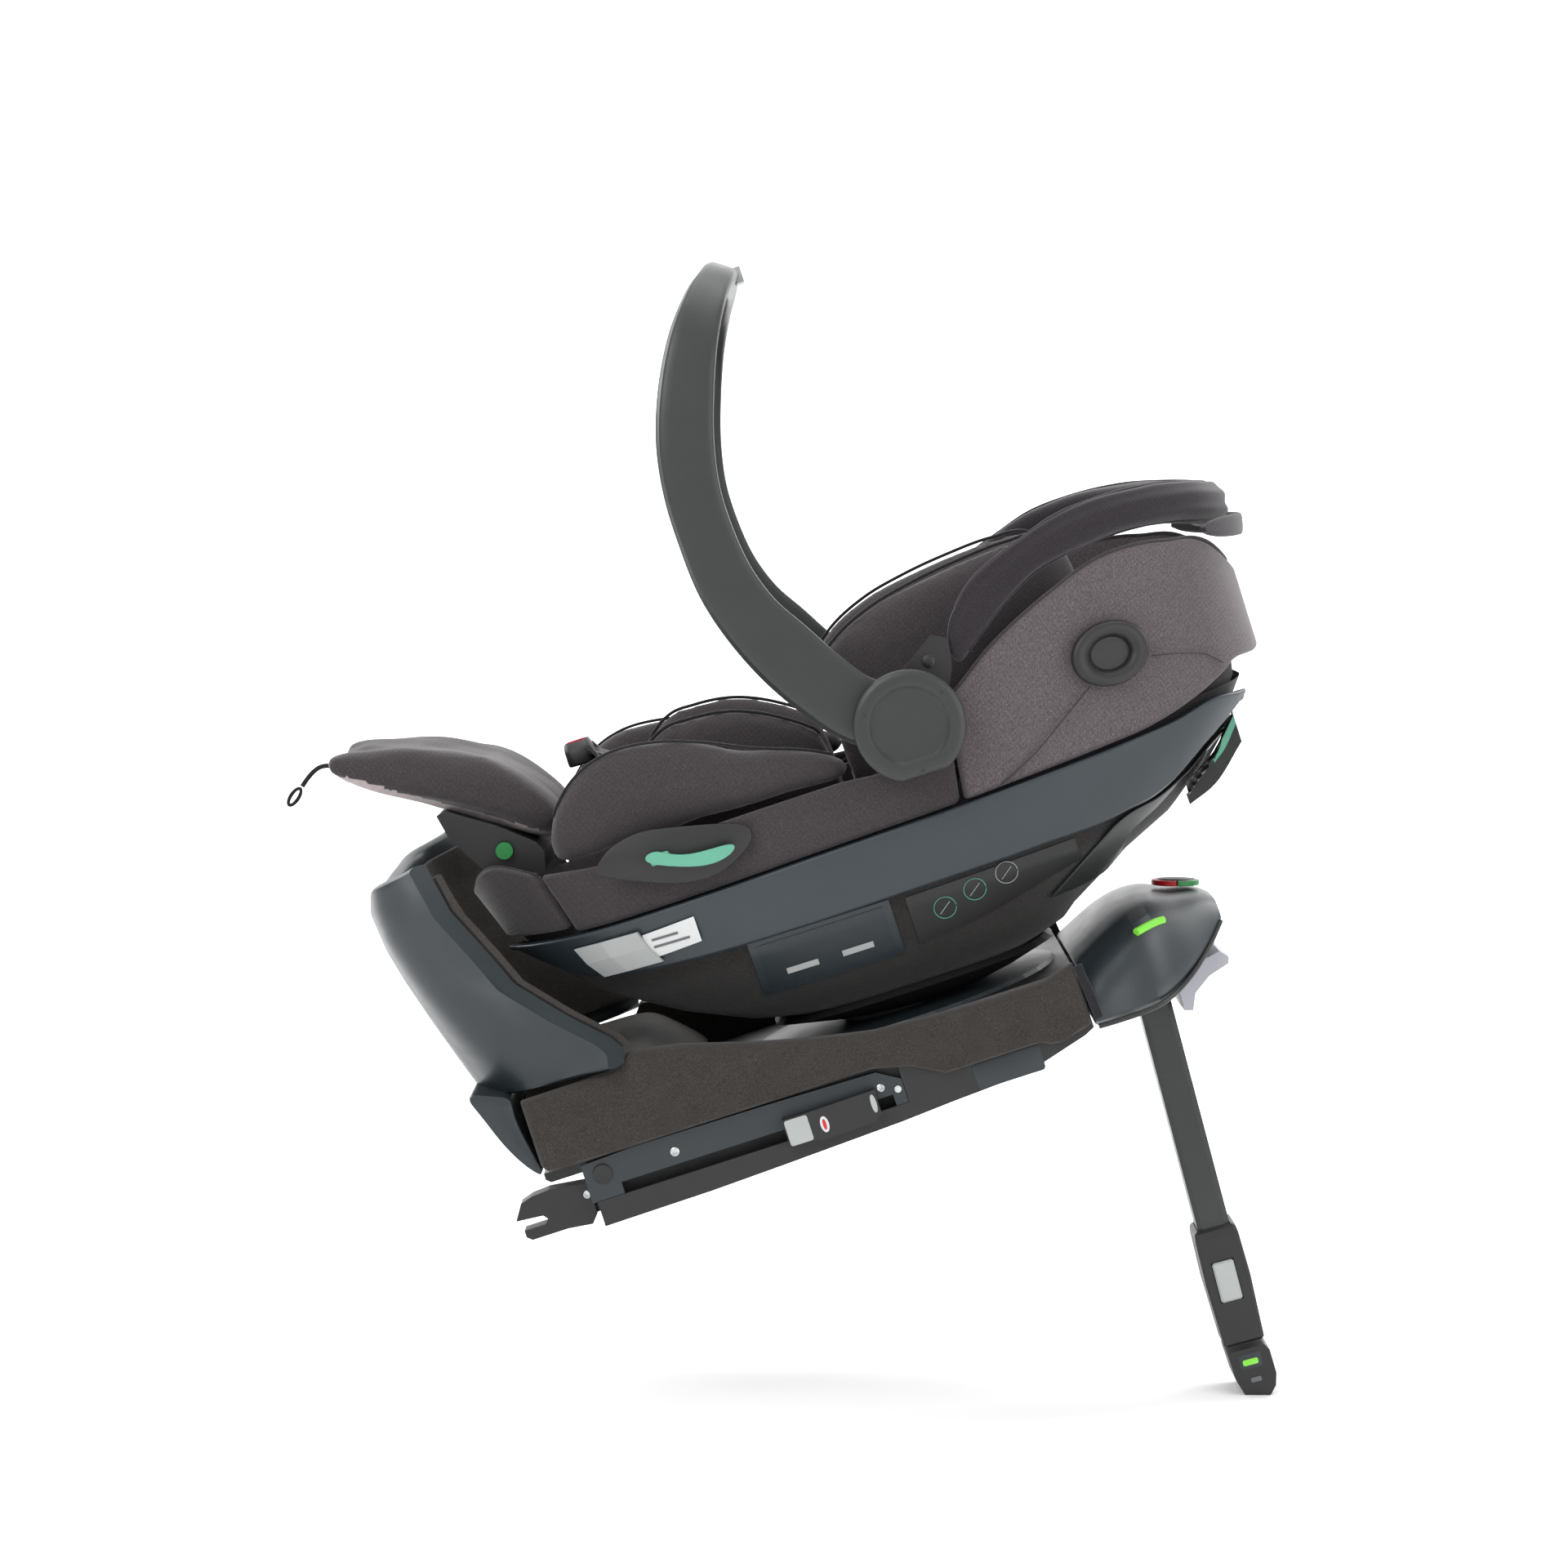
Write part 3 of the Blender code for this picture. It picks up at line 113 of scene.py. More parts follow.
FLOOR_Z = CAD_BOX[0][2] - 0.0005
sweep_turn = np.linspace(0, math.pi / 2, 14)
SWEEP_RADIUS = 1.6
sweep_profile = np.concatenate(
    [
        [[-6.0, 0.0], [0.0, 0.0]],
        np.stack([2.6 + SWEEP_RADIUS * np.sin(sweep_turn), SWEEP_RADIUS * (1 - np.cos(sweep_turn))], 1),
        [[2.6 + SWEEP_RADIUS, 7.0]],
    ]
)
across = np.array([-9.0, 9.0])
sweep_points = np.array([[x, y, z + FLOOR_Z] for y, z in sweep_profile for x in across])
rows = np.arange(len(sweep_profile) - 1)[:, None] * 2
backdrop_mesh = bpy.data.meshes.new("backdrop")
backdrop_mesh.from_pydata(sweep_points, [], (rows + np.array([[0, 1, 3, 2]])).tolist())
backdrop_mesh.shade_smooth()
backdrop = bpy.data.objects.new("backdrop", backdrop_mesh)
bpy.context.scene.collection.objects.link(backdrop)
paper = bpy.data.materials.new("studio_paper")
paper.use_nodes = True
paper.node_tree.nodes["Principled BSDF"].inputs["Base Color"].default_value = (0.93, 0.93, 0.93, 1)
paper.node_tree.nodes["Principled BSDF"].inputs["Roughness"].default_value = 0.9
backdrop_mesh.materials.append(paper)

LAMPS = {  # place, aim, size, power
    "key": ((-1.6, -2.6, 2.4), (0.2, 0, 0.35), 2.2, 60),
    "fill": ((2.6, -2.4, 1.0), (0.3, 0, 0.3), 2.4, 34),
    "top": ((0.3, 0.3, 3.0), (0.2, 0, 0.3), 2.6, 48),
    "back_left": ((-2.4, 1.8, 1.5), (0.1, 0, 0.35), 1.6, 34),
    "back_right": ((2.6, 1.8, 1.6), (0.4, 0, 0.3), 1.6, 34),
    "paper_wash": ((0.2, 1.6, 2.6), (0.2, 4.2, 1.0), 2.5, 130),
}
for name, (at, aim, size, power) in LAMPS.items():
    lamp_data = bpy.data.lights.new(name, "AREA")
    lamp_data.size, lamp_data.energy = size, power
    lamp = bpy.data.objects.new(name, lamp_data)
    lamp.location = at
    look_at(lamp, aim)
    bpy.context.scene.collection.objects.link(lamp)
world = bpy.data.worlds.new("studio")
world.use_nodes = True
world.node_tree.nodes["Background"].inputs[0].default_value = (1, 1, 1, 1)
world.node_tree.nodes["Background"].inputs[1].default_value = 0.75
bpy.context.scene.world = world
bpy.context.scene.view_settings.view_transform = "Standard"
print(len(LAMPS), "soft lamps")

# %% [markdown]
# Materials are built from a few recipes. A small helper adds a node, sets its plain inputs and
# joins its linked ones, so each recipe reads as a list of steps.


# %% A helper for node recipes
class Recipe:
    """A material under construction: add() makes a node, joins links given as sockets, and returns it."""

    def __init__(self, name, colour, roughness, **constants):
        self.material = bpy.data.materials.new(name)
        self.material.use_nodes = True
        self.tree = self.material.node_tree
        self.shader = self.tree.nodes["Principled BSDF"]
        self.shader.inputs["Base Color"].default_value = (*colour, 1)
        self.shader.inputs["Roughness"].default_value = roughness
        for socket, value in constants.items():
            self.shader.inputs[socket.replace("_", " ")].default_value = value
        self.where = self.add("ShaderNodeTexCoord").outputs["Object"]

    def add(self, kind, settings=None, **inputs):
        node = self.tree.nodes.new(kind)
        for key, value in (settings or {}).items():
            setattr(node, key, value)
        for key, value in inputs.items():
            socket = node.inputs[int(key[1:])] if key[0] == "i" and key[1:].isdigit() else node.inputs[
                key.replace("_", " ")]
            if isinstance(value, bpy.types.NodeSocket):
                self.tree.links.new(value, socket)
            else:
                socket.default_value = value
        return node

    def noise(self, scale, detail=3.0, stretch=(1, 1, 1), roughness=0.55):
        mapped = self.add("ShaderNodeMapping", Vector=self.where, Scale=stretch)
        return self.add(
            "ShaderNodeTexNoise", Vector=mapped.outputs[0], Scale=scale, Detail=detail, Roughness=roughness
        ).outputs["Fac"]

    def ramp(self, value, stops):
        node = self.add("ShaderNodeValToRGB", Fac=value)
        node.color_ramp.elements[0].position, node.color_ramp.elements[0].color = stops[0][0], (
            *stops[0][1], 1)
        node.color_ramp.elements[1].position, node.color_ramp.elements[1].color = stops[-1][0], (
            *stops[-1][1], 1)
        for at, colour in stops[1:-1]:
            node.color_ramp.elements.new(at).color = (*colour, 1)
        return node.outputs["Color"]

    def mix(self, how, factor, a, b):
        node = self.add("ShaderNodeMix", {"data_type": "RGBA", "blend_type": how}, i0=factor, i6=a, i7=b)
        return node.outputs[2]

    def spread(self, value, low, high):
        return self.add("ShaderNodeMapRange", i0=value, i3=low, i4=high).outputs[0]

    def colour(self, socket):
        self.tree.links.new(socket, self.shader.inputs["Base Color"])

    def rough(self, socket):
        self.tree.links.new(socket, self.shader.inputs["Roughness"])

    def bump(self, height, strength, distance):
        node = self.add("ShaderNodeBump", i0=strength, i1=distance, Height=height)
        if self.shader.inputs["Normal"].links:
            self.tree.links.new(self.shader.inputs["Normal"].links[0].from_socket, node.inputs["Normal"])
        self.tree.links.new(node.outputs[0], self.shader.inputs["Normal"])


def times(colour, factor):
    return tuple(min(1.0, c * factor) for c in colour)


# %% [markdown]
# Moulded plastic is never one flat colour: the mould is etched with a fine grain, handling
# polishes some of it away, and dust dulls the rest. Three noises of very different sizes give
# those three things.


# %% The recipe for moulded plastic
def plastic(name, colour, roughness, grain=0.12, grain_scale=1500.0, specular=0.5):
    """Grain is a fine bump, polish a roughness that wanders by a tenth, and tone a drift of 8 percent."""
    mix = Recipe(name, colour, roughness, Specular_IOR_Level=specular)
    tone = mix.noise(9.0, 4.0)
    fine = mix.noise(grain_scale, 2.0)
    drift = mix.ramp(tone, [(0.3, times(colour, 0.92)), (0.7, times(colour, 1.1))])
    mix.colour(mix.mix("MULTIPLY", 0.25, drift,
        mix.ramp(fine, [(0.35, (0.75, 0.75, 0.75)), (0.65, (1, 1, 1))])))
    scuff = mix.noise(42.0, 6.0, stretch=(1, 1, 2.2))
    mix.rough(mix.spread(scuff, roughness - 0.07, roughness + 0.09))
    mix.bump(fine, grain, 0.0002)
    return mix.material


# %% [markdown]
# Cloth is a weave: two sets of threads that pass over and under each other. Two crossed waves
# multiply into that pattern, which is the bump and also paints shade between the threads by
# darkening the colour where it is low. A noise at thread size mixes lighter and darker fibres as a
# heather yarn does, and a slow noise fades the whole piece unevenly. Sheen brightens the edges.


# %% The recipe for woven and knitted cloth
def cloth(name, dark, light, thread=0.00085, sheen=0.25, bump=0.5, heather=0.5):
    """Height is one wave times another that crosses it; colour runs from dark to light with fibre noise and
    is painted darker where that height is low, as shade between the threads.
    """
    mix = Recipe(name, dark, 0.92, Sheen_Weight=sheen, Sheen_Roughness=0.45, Specular_IOR_Level=0.25)
    turns = 1.0 / thread / 6.283
    warp_map = mix.add("ShaderNodeMapping", Vector=mix.where, Rotation=(0.6, 0.8, 0.0))
    weft_map = mix.add("ShaderNodeMapping", Vector=mix.where, Rotation=(-0.6, -0.8, 0.4))
    warp = mix.add("ShaderNodeTexWave", Vector=warp_map.outputs[0], Scale=turns * 0.5, Distortion=0.6,
        Detail=1.0)
    weft = mix.add("ShaderNodeTexWave", Vector=weft_map.outputs[0], Scale=turns * 0.5, Distortion=0.6,
        Detail=1.0)
    weave = mix.mix("MULTIPLY", 1.0, warp.outputs["Color"], weft.outputs["Color"])
    fibre = mix.noise(1300.0, 3.0, stretch=(1, 1, 0.45))
    blotch = mix.noise(14.0, 4.0)
    yarn = mix.ramp(fibre, [(0.38, dark), (0.62, light)])
    # Painted shade: the yarn colour is darkened where the weave is low, between the threads.
    painted_shade_yarn = mix.mix("MULTIPLY", 0.35, yarn, mix.ramp(weave, [(0.0, (0.5, 0.5, 0.5)), (0.7, (1, 1, 1))]))
    faded = mix.mix("OVERLAY", 0.25, painted_shade_yarn,
        mix.ramp(blotch, [(0.3, (0.42, 0.42, 0.42)), (0.7, (0.58, 0.58, 0.58))]))
    mix.colour(mix.mix("MIX", 1.0 - heather, faded,
        mix.ramp(fibre, [(0.0, times(dark, 1.05)), (1.0, times(light, 0.9))])))
    mix.bump(weave, bump, 0.0003)
    mix.bump(blotch, 0.15, 0.002)
    return mix.material


# %% [markdown]
# Felt and expanded foam have no threads. Felt is a mat of fibres with pale flecks, and the
# foam of the tub shows the skins of its beads. A cell pattern gives the beads and a sharp noise
# gives the flecks.


# %% The recipe for felt and bead foam
def felt(name, dark, light, fleck=0.62, bead=0.0, scale=620.0):
    """Flecks are where a sharp noise passes a threshold; beads are cells whose borders sink."""
    mix = Recipe(name, dark, 0.97, Sheen_Weight=0.15, Specular_IOR_Level=0.2)
    fibre = mix.noise(scale, 5.0, roughness=0.7)
    broad = mix.noise(55.0, 5.0)
    speck = mix.ramp(fibre, [(0.4, dark), (fleck, light)])
    worn = mix.ramp(broad, [(0.3, (0.72, 0.72, 0.72)), (0.7, (1, 1, 1))])
    mix.colour(mix.mix("MULTIPLY", 0.7, speck, worn))
    mix.bump(fibre, 0.6, 0.0005)
    if bead:
        cells = mix.add("ShaderNodeTexVoronoi", {"feature": "DISTANCE_TO_EDGE"}, Vector=mix.where,
            Scale=1.0 / bead)
        mix.bump(mix.spread(cells.outputs["Distance"], 0.0, 1.0), 0.35, 0.0006)
    return mix.material


# %% The finishes of this seat
LOOKS = {
    "black_plastic": plastic("black_plastic", (0.010, 0.010, 0.011), 0.48),
    "blue_black_plastic": plastic("blue_black_plastic", (0.016, 0.022, 0.026), 0.4, grain=0.08),
    "rail_plastic": plastic("rail_plastic", (0.020, 0.028, 0.034), 0.38, grain=0.06),
    "charcoal_plastic": plastic("charcoal_plastic", (0.023, 0.025, 0.025), 0.4, grain=0.08),
    "light_grey_plastic": plastic("light_grey_plastic", (0.35, 0.365, 0.36), 0.42, grain=0.06),
    "lilac_plastic": plastic("lilac_plastic", (0.40, 0.40, 0.45), 0.42, grain=0.05),
    "teal_plastic": plastic("teal_plastic", (0.10, 0.34, 0.235), 0.38, grain=0.05),
    "green_plastic": plastic("green_plastic", (0.004, 0.20, 0.035), 0.35, grain=0.04),
    "red_plastic": plastic("red_plastic", (0.50, 0.012, 0.018), 0.35, grain=0.04),
    "white_label": plastic("white_label", (0.58, 0.59, 0.59), 0.5, grain=0.02),
    "grey_print": plastic("grey_print", (0.10, 0.105, 0.11), 0.5, grain=0.02),
    "lime_lens": plastic("lime_lens", (0.20, 0.66, 0.05), 0.18, grain=0.0),
    "seat_fabric": cloth("seat_fabric", (0.028, 0.024, 0.026), (0.062, 0.054, 0.057)),
    "heather_fabric": cloth("heather_fabric", (0.062, 0.052, 0.056), (0.145, 0.124, 0.131), heather=0.7),
    "canopy_fabric": cloth("canopy_fabric", (0.016, 0.013, 0.017), (0.034, 0.029, 0.034), bump=0.3),
    "knit_fabric": cloth("knit_fabric", (0.33, 0.27, 0.28), (0.50, 0.43, 0.43), thread=0.0014),
    "webbing": cloth("webbing", (0.008, 0.008, 0.009), (0.022, 0.022, 0.024), thread=0.0012, bump=0.8),
    "felt": felt("felt", (0.024, 0.021, 0.019), (0.066, 0.059, 0.054), fleck=0.7, scale=1300.0),
    "tub_foam": felt("tub_foam", (0.013, 0.012, 0.012), (0.042, 0.039, 0.037), fleck=0.7, bead=0.0035,
    scale=1100.0),
}
steel = Recipe("steel", (0.52, 0.52, 0.53), 0.3, Metallic=1.0)
streak = steel.noise(60.0, 5.0, stretch=(1, 30, 30))
steel.rough(steel.spread(streak, 0.22, 0.42))
steel.bump(streak, 0.1, 0.0001)
LOOKS["steel"] = steel.material
print(len(LOOKS), "finishes")

# %% [markdown]
# Every new skin here is a grid of points: rows along one direction, columns along the other.
# One function turns such a grid into a mesh. It closes the seams that wrap, caps the ends, turns
# the faces outward and lets sharp creases stay sharp.


# %% A grid of points becomes a piece
def surface(name, grid, look, body, around=False, along=False, caps=False, sharp=40.0, stands_for=()):
    """Faces join neighbours (i, j) of the grid. around closes the columns, along closes the rows."""
    grid = np.asarray(grid, float)
    n, m = grid.shape[:2]
    i = np.arange(n if along else n - 1)[:, None]
    j = np.arange(m if around else m - 1)[None, :]
    i2, j2 = (i + 1) % n, (j + 1) % m
    quads = np.stack(np.broadcast_arrays(i * m + j, i * m + j2, i2 * m + j2, i2 * m + j), -1).reshape(-1, 4)
    faces = quads.tolist()
    if caps:
        faces += [list(range(m))[::-1], list(range((n - 1) * m, n * m))]
    mesh = bpy.data.meshes.new(name)
    mesh.from_pydata(place(grid.reshape(-1, 3)), [], faces)
    work = bmesh.new()
    work.from_mesh(mesh)
    bmesh.ops.remove_doubles(work, verts=work.verts, dist=1e-6)
    bmesh.ops.recalc_face_normals(work, faces=work.faces)
    work.to_mesh(mesh)
    work.free()
    mesh.shade_smooth()
    mesh.set_sharp_from_angle(angle=math.radians(sharp))
    return dress(name, mesh, look, body, stands_for)


def dress(name, mesh, look, body, stands_for=()):
    """Gives a mesh its finish and its body, and hides the CAD nodes that it stands for."""
    mesh.materials.clear()
    mesh.materials.append(LOOKS[look])
    piece = bpy.data.objects.new(name, mesh)
    bpy.context.scene.collection.objects.link(piece)
    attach(piece, body)
    if stands_for:
        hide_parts(*stands_for)
    return piece


def read(table, x):
    """A smooth curve through a table's rows: cubic pieces whose slopes are those of their neighbours."""
    rows = np.array(table, float)
    xs, values = rows[:, 0], rows[:, 1]
    slope = np.gradient(values, xs)
    x = np.clip(x, xs[0], xs[-1])
    i = np.clip(np.searchsorted(xs, x) - 1, 0, len(xs) - 2)
    step = xs[i + 1] - xs[i]
    s = (x - xs[i]) / step
    return (
        (1 + 2 * s) * (1 - s) ** 2 * values[i] + s * (1 - s) ** 2 * step * slope[i]
        + s * s * (3 - 2 * s) * values[i + 1] + s * s * (s - 1) * step * slope[i + 1]
    )  # fmt: skip


def trace(points, count):
    """A smooth path through points, cut evenly along its length: each coordinate is read by arc length."""
    points = np.array(points, float)
    walked = np.concatenate([[0], np.cumsum(np.linalg.norm(np.diff(points, axis=0), axis=1))])
    at = np.linspace(0, walked[-1], count)
    return np.stack([read(np.stack([walked, points[:, k]], 1), at) for k in range(points.shape[1])], 1)


def oval(count, power=2.0):
    """A closed ring of (u, v) on |u|^p + |v|^p = 1: power 2 is a circle, and 4 a rounded square."""
    a = np.linspace(0, 2 * math.pi, count, endpoint=False)
    c, s = np.cos(a), np.sin(a)
    return np.stack([np.sign(c) * np.abs(c) ** (2 / power), np.sign(s) * np.abs(s) ** (2 / power)], 1)


def sweep(path, ring, wide, deep, side_on=(0, 1, 0)):
    """A ring carried along a path: u runs across the path, square to side_on, and v runs along side_on."""
    tangent = np.gradient(path, axis=0)
    tangent /= np.linalg.norm(tangent, axis=1)[:, None]
    side_on = np.broadcast_to(np.asarray(side_on, float), path.shape)
    u = np.cross(side_on, tangent)
    u /= np.linalg.norm(u, axis=1)[:, None]
    v = np.cross(tangent, u)
    wide, deep = (np.broadcast_to(value, len(path))[:, None, None] for value in (wide, deep))
    return path[:, None] + wide * ring[None, :, :1] * u[:, None] + deep * ring[None, :, 1:] * v[:, None]


def cordage(name, points, radius, look, body, count=None, side_on=(0, 1, 0), ring=None, wide=None):
    """A round or flat line of trim along a path through points, closed at both ends."""
    count = count or max(8, 6 * len(points))
    path = trace(points, count)
    ring = oval(10) if ring is None else ring
    return surface(name, sweep(path, ring, radius if wide is None else wide, radius, side_on), look, body,
        True, caps=True)


print("grid tools ready")

# %% [markdown]
# The carrier's wall is one formula, so everything that lies on it can share it. In plan it is a
# superellipse: fuller than an ellipse at its corners, flatter along its sides. Its length, width
# and middle change with height, which gives the bowl. A skin is then only a range of turns, two
# heights and two distances out from that wall.

# %% The carrier's wall
HALF_LENGTH, HALF_WIDTH, MIDDLE = 327.0, 172.0, 358.0
BOWL_LENGTH = [(68, .13), (75, .24), (90, .42), (115, .55), (150, .755), (180, .86), (210, .925), (250, 1)]
BOWL_WIDTH = [(68, .30), (75, .45), (90, .62), (115, .76), (150, .88), (180, .94), (210, .975), (250, 1)]
BOWL_MIDDLE = [(68, 350), (115, 330), (150, 342), (250, MIDDLE)]
RIM = [(31, 240), (130, 245), (300, 248), (380, 262), (450, 300), (540, 338), (600, 350), (650, 338),
    (685, 298)]
SUPER = 2 / 3


def line(table, x):
    """The table read along straight pieces, as the CAD reads it, so that a skin keeps its distance."""
    rows = np.array(table, float)
    return np.interp(x, rows[:, 0], rows[:, 1])


def wall(turn, z, outset):
    """x = middle + long * cos^(2/3), y = wide * sin^(2/3), both moved along the outward normal by outset."""
    c, s = np.cos(turn), np.sin(turn)
    long_, wide = HALF_LENGTH * line(BOWL_LENGTH, z), HALF_WIDTH * line(BOWL_WIDTH, z)
    nx = np.sign(c) * np.abs(c) ** (2 * SUPER) / long_
    ny = np.sign(s) * np.abs(s) ** (2 * SUPER) / wide
    size = np.hypot(nx, ny)
    x = line(BOWL_MIDDLE, z) + long_ * np.sign(c) * np.abs(c) ** SUPER + outset * nx / size
    y = wide * np.sign(s) * np.abs(s) ** SUPER + outset * ny / size
    return np.stack(np.broadcast_arrays(x, y, z), -1)


def turns(first, last, count):
    """Turns between two angles in degrees, spaced so that their points lie evenly along the wall."""
    fine = np.radians(np.linspace(first, last, 3001))
    steps = np.linalg.norm(np.diff(wall(fine, 230.0 + 0 * fine, 0.0), axis=0), axis=1)
    walked = np.concatenate([[0], np.cumsum(steps)])
    return np.interp(np.linspace(0, walked[-1], count), walked, fine)


def wall_y(x, z, outset):
    """How far out the wall stands at x and z, from the superellipse solved for y."""
    share = np.minimum(np.abs(x - line(BOWL_MIDDLE, z)) / (HALF_LENGTH * line(BOWL_LENGTH, z)), 0.999)
    turn = np.arccos(share**1.5)
    near, far = wall(turn, z, 0.0)[..., 1], wall(turn, z, 1.0)[..., 1]
    return near + outset / np.maximum(far - near, 0.2)


def slab(tall, thick, radius, count=28):
    """Rings of a rounded rectangle: a corner's centre plus a circle of the corner's radius."""
    a = np.linspace(0, 2 * math.pi, count, endpoint=False) + math.pi / count
    c, s = np.cos(a), np.sin(a)
    tall, thick, radius = (np.atleast_1d(value)[:, None] for value in (tall, thick, radius))
    radius = np.minimum(radius, np.minimum(tall, thick) * 0.499)
    return np.sign(s) * (tall / 2 - radius) + radius * s, np.sign(c) * (thick / 2 - radius) + radius * c


def skin(name, span, low, high, inner, outer, look, body="carrier", radius=2.5, crown=0.0, read_at=210.0,
         count=120, close=6.0, ripple=None, ring=36, **more):  # fmt: skip
    """A strip of the wall: height and outset follow a rounded rectangle, which shrinks at both ends."""
    turn = turns(*span, count)
    x = wall(turn, read_at + 0 * turn, outer)[:, 0]
    z0, z1 = (read(table, x) if isinstance(table, list) else table + 0 * x for table in (low, high))
    edge = wall(turn, (z0 + z1) / 2, outer)
    walked = np.concatenate([[0], np.cumsum(np.linalg.norm(np.diff(edge, axis=0), axis=1))])
    near = np.minimum(np.minimum(walked, walked[-1] - walked) / close, 1.0)
    round_off = np.sqrt(np.maximum(1 - (1 - near) ** 2, 0.02))
    tall, thick = (z1 - z0) - 2 * close * (1 - round_off) * 0.5, (outer - inner) * np.maximum(round_off,
        0.3)
    dz, out = slab(tall, thick, radius * np.maximum(round_off, 0.3), ring)
    middle = (z0 + z1)[:, None] / 2
    swell = crown * (1 - (2 * dz / tall[:, None]) ** 2) * (out > 0)
    outset = inner + thick[:, None] / 2 + out + swell
    if ripple is not None:
        outset = outset + ripple(walked[:, None], dz) * (out > 0)
    return surface(name, wall(turn[:, None], middle + dz, outset), look, body, around=True, caps=True,
        **more)


print("wall at the hub:", round(float(wall_y(402.0, 250.0, 0.0)), 1), "mm from the middle")

# %% [markdown]
# A cushion that has been in use is never even. Its cover creases where it is pulled, and it
# swells between its seams. Creases are sums of waves that run in different directions, and a
# crease is narrower than the swell beside it, so the waves are sharpened.


# %% Creases and swells of cloth
def creases(size, wave=60.0, phase=0.0):
    """Three crossing sine waves, each folded with 1 - |sin| so that its valleys are sharp; size in mm."""

    def height(u, v):
        a = np.sin(u / wave * 6.28 + 1.3 * np.sin(v / wave * 4.1 + phase) + phase)
        b = np.sin((0.7 * u + 1.1 * v) / wave * 5.1 + 2.0 * phase)
        c = np.sin((0.4 * u - 1.6 * v) / wave * 3.3 - phase)
        return size * (0.5 * a + 0.3 * (1 - 2 * np.abs(b)) + 0.2 * c)

    return height


def puff(piece, swell, cap, voxel=5.0, pressure=4.0):
    """Stuffs a closed cover: voxel remesh, then 20 frames of cloth under air pressure.

    A point keeps the share swell of its move, and at most cap mm of it.
    """
    mesh = piece.data
    scene = bpy.context.scene
    work = bpy.data.objects.new(piece.name + "_work", mesh.copy())
    scene.collection.objects.link(work)
    remesh = work.modifiers.new("even_net", "REMESH")
    remesh.mode, remesh.voxel_size = "VOXEL", voxel * 0.001
    bpy.context.view_layer.update()
    net = bpy.data.meshes.new_from_object(work.evaluated_get(bpy.context.evaluated_depsgraph_get()))
    work.modifiers.clear()
    work.data = net
    start = np.empty(len(net.vertices) * 3)
    net.vertices.foreach_get("co", start)
    cloth_modifier = work.modifiers.new("stuffing", "CLOTH")
    settings = cloth_modifier.settings
    settings.use_pressure, settings.uniform_pressure_force = True, pressure
    settings.effector_weights.gravity = 0.0
    settings.quality = 4
    cloth_modifier.point_cache.frame_start, cloth_modifier.point_cache.frame_end = 1, 20
    for step in range(1, 21):
        scene.frame_set(step)
    stuffed = bpy.data.meshes.new_from_object(work.evaluated_get(bpy.context.evaluated_depsgraph_get()))
    end = np.empty(len(stuffed.vertices) * 3)
    stuffed.vertices.foreach_get("co", end)
    move = (end - start).reshape(-1, 3) * swell
    reach = np.linalg.norm(move, axis=1)[:, None]
    move *= np.minimum(1.0, cap * 0.001 / np.maximum(reach, 1e-9))
    stuffed.vertices.foreach_set("co", (start.reshape(-1, 3) + move).ravel())
    stuffed.shade_smooth()
    stuffed.materials.clear()
    for material in mesh.materials:
        stuffed.materials.append(material)
    bpy.data.objects.remove(work)
    scene.frame_set(1)
    old = piece.data
    piece.data = stuffed
    bpy.data.meshes.remove(old)
    smooth = piece.modifiers.new("smooth", "SUBSURF")
    smooth.levels = smooth.render_levels = 1
    return piece


print("cloth tools ready")

# %% [markdown]
# The short cord comes first after the camera, as the one free line on the seat: a pull, knotted
# to a webbing eye, that sticks out at the toe of the leg rest. It is shown from end to end, so
# its real length is the length of this route. It bends down under its own weight.

# %% The adjuster cord and its pull
CORD_ROUTE = [(-59.2, 391), (-65, 393.5), (-71, 394), (-77, 392), (-83, 388.5), (-89.5, 383.5)]
CORD_DIAMETER = 0.004


def spline_through(points, count):
    """Catmull-Rom: a cubic through each pair of points whose slopes come from their neighbours."""
    p = np.array([points[0]] + points + [points[-1]], float)
    at = np.arange(count + 1) * (len(points) - 1) / count
    k = np.minimum(at.astype(int), len(points) - 2)
    t = (at - k)[:, None]
    a, b, c, d = p[k], p[k + 1], p[k + 2], p[k + 3]
    return 0.5 * (
        2 * b + (c - a) * t + (2 * a - 5 * b + 4 * c - d) * t * t + (3 * b - a - 3 * c + d) * t**3)


route = spline_through(CORD_ROUTE, 28)
route = place(np.stack([route[:, 0], 0 * route[:, 0], route[:, 1]], 1))
cord_curve = bpy.data.curves.new("adjuster_cord_line", "CURVE")
cord_curve.dimensions = "3D"
cord_curve.bevel_depth, cord_curve.bevel_resolution = CORD_DIAMETER / 2, 5
cord_curve.use_fill_caps = True
spline = cord_curve.splines.new("POLY")
spline.points.add(len(route) - 1)
spline.points.foreach_set("co", np.concatenate([route, np.ones((len(route), 1))], 1).ravel())
cord_curve.materials.append(LOOKS["webbing"])
cord_line = bpy.data.objects.new("adjuster_cord_line", cord_curve)
bpy.context.scene.collection.objects.link(cord_line)
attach(cord_line, "leg_rest")
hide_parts("adjuster_cord")

EYE_TILT = math.radians(38)
a = np.linspace(0, 2 * math.pi, 64, endpoint=False)[:, None]
b = np.linspace(0, 2 * math.pi, 12, endpoint=False)[None, :]
reach = 1.6 * np.cos(b)
u, v = (8.0 + reach) * np.cos(a), (3.2 + reach) * np.sin(a)
eye_grid = np.stack(
    np.broadcast_arrays(
        -98.2 + u * math.cos(EYE_TILT) - v * math.sin(EYE_TILT),
        2.2 * np.sin(b) + 0 * a,
        377.2 + u * math.sin(EYE_TILT) + v * math.cos(EYE_TILT),
    ),
    -1,
)
pull = surface("pull_eye", eye_grid, "webbing", "leg_rest", around=True, along=True, sharp=80,
    stands_for=["adjuster_pull"])

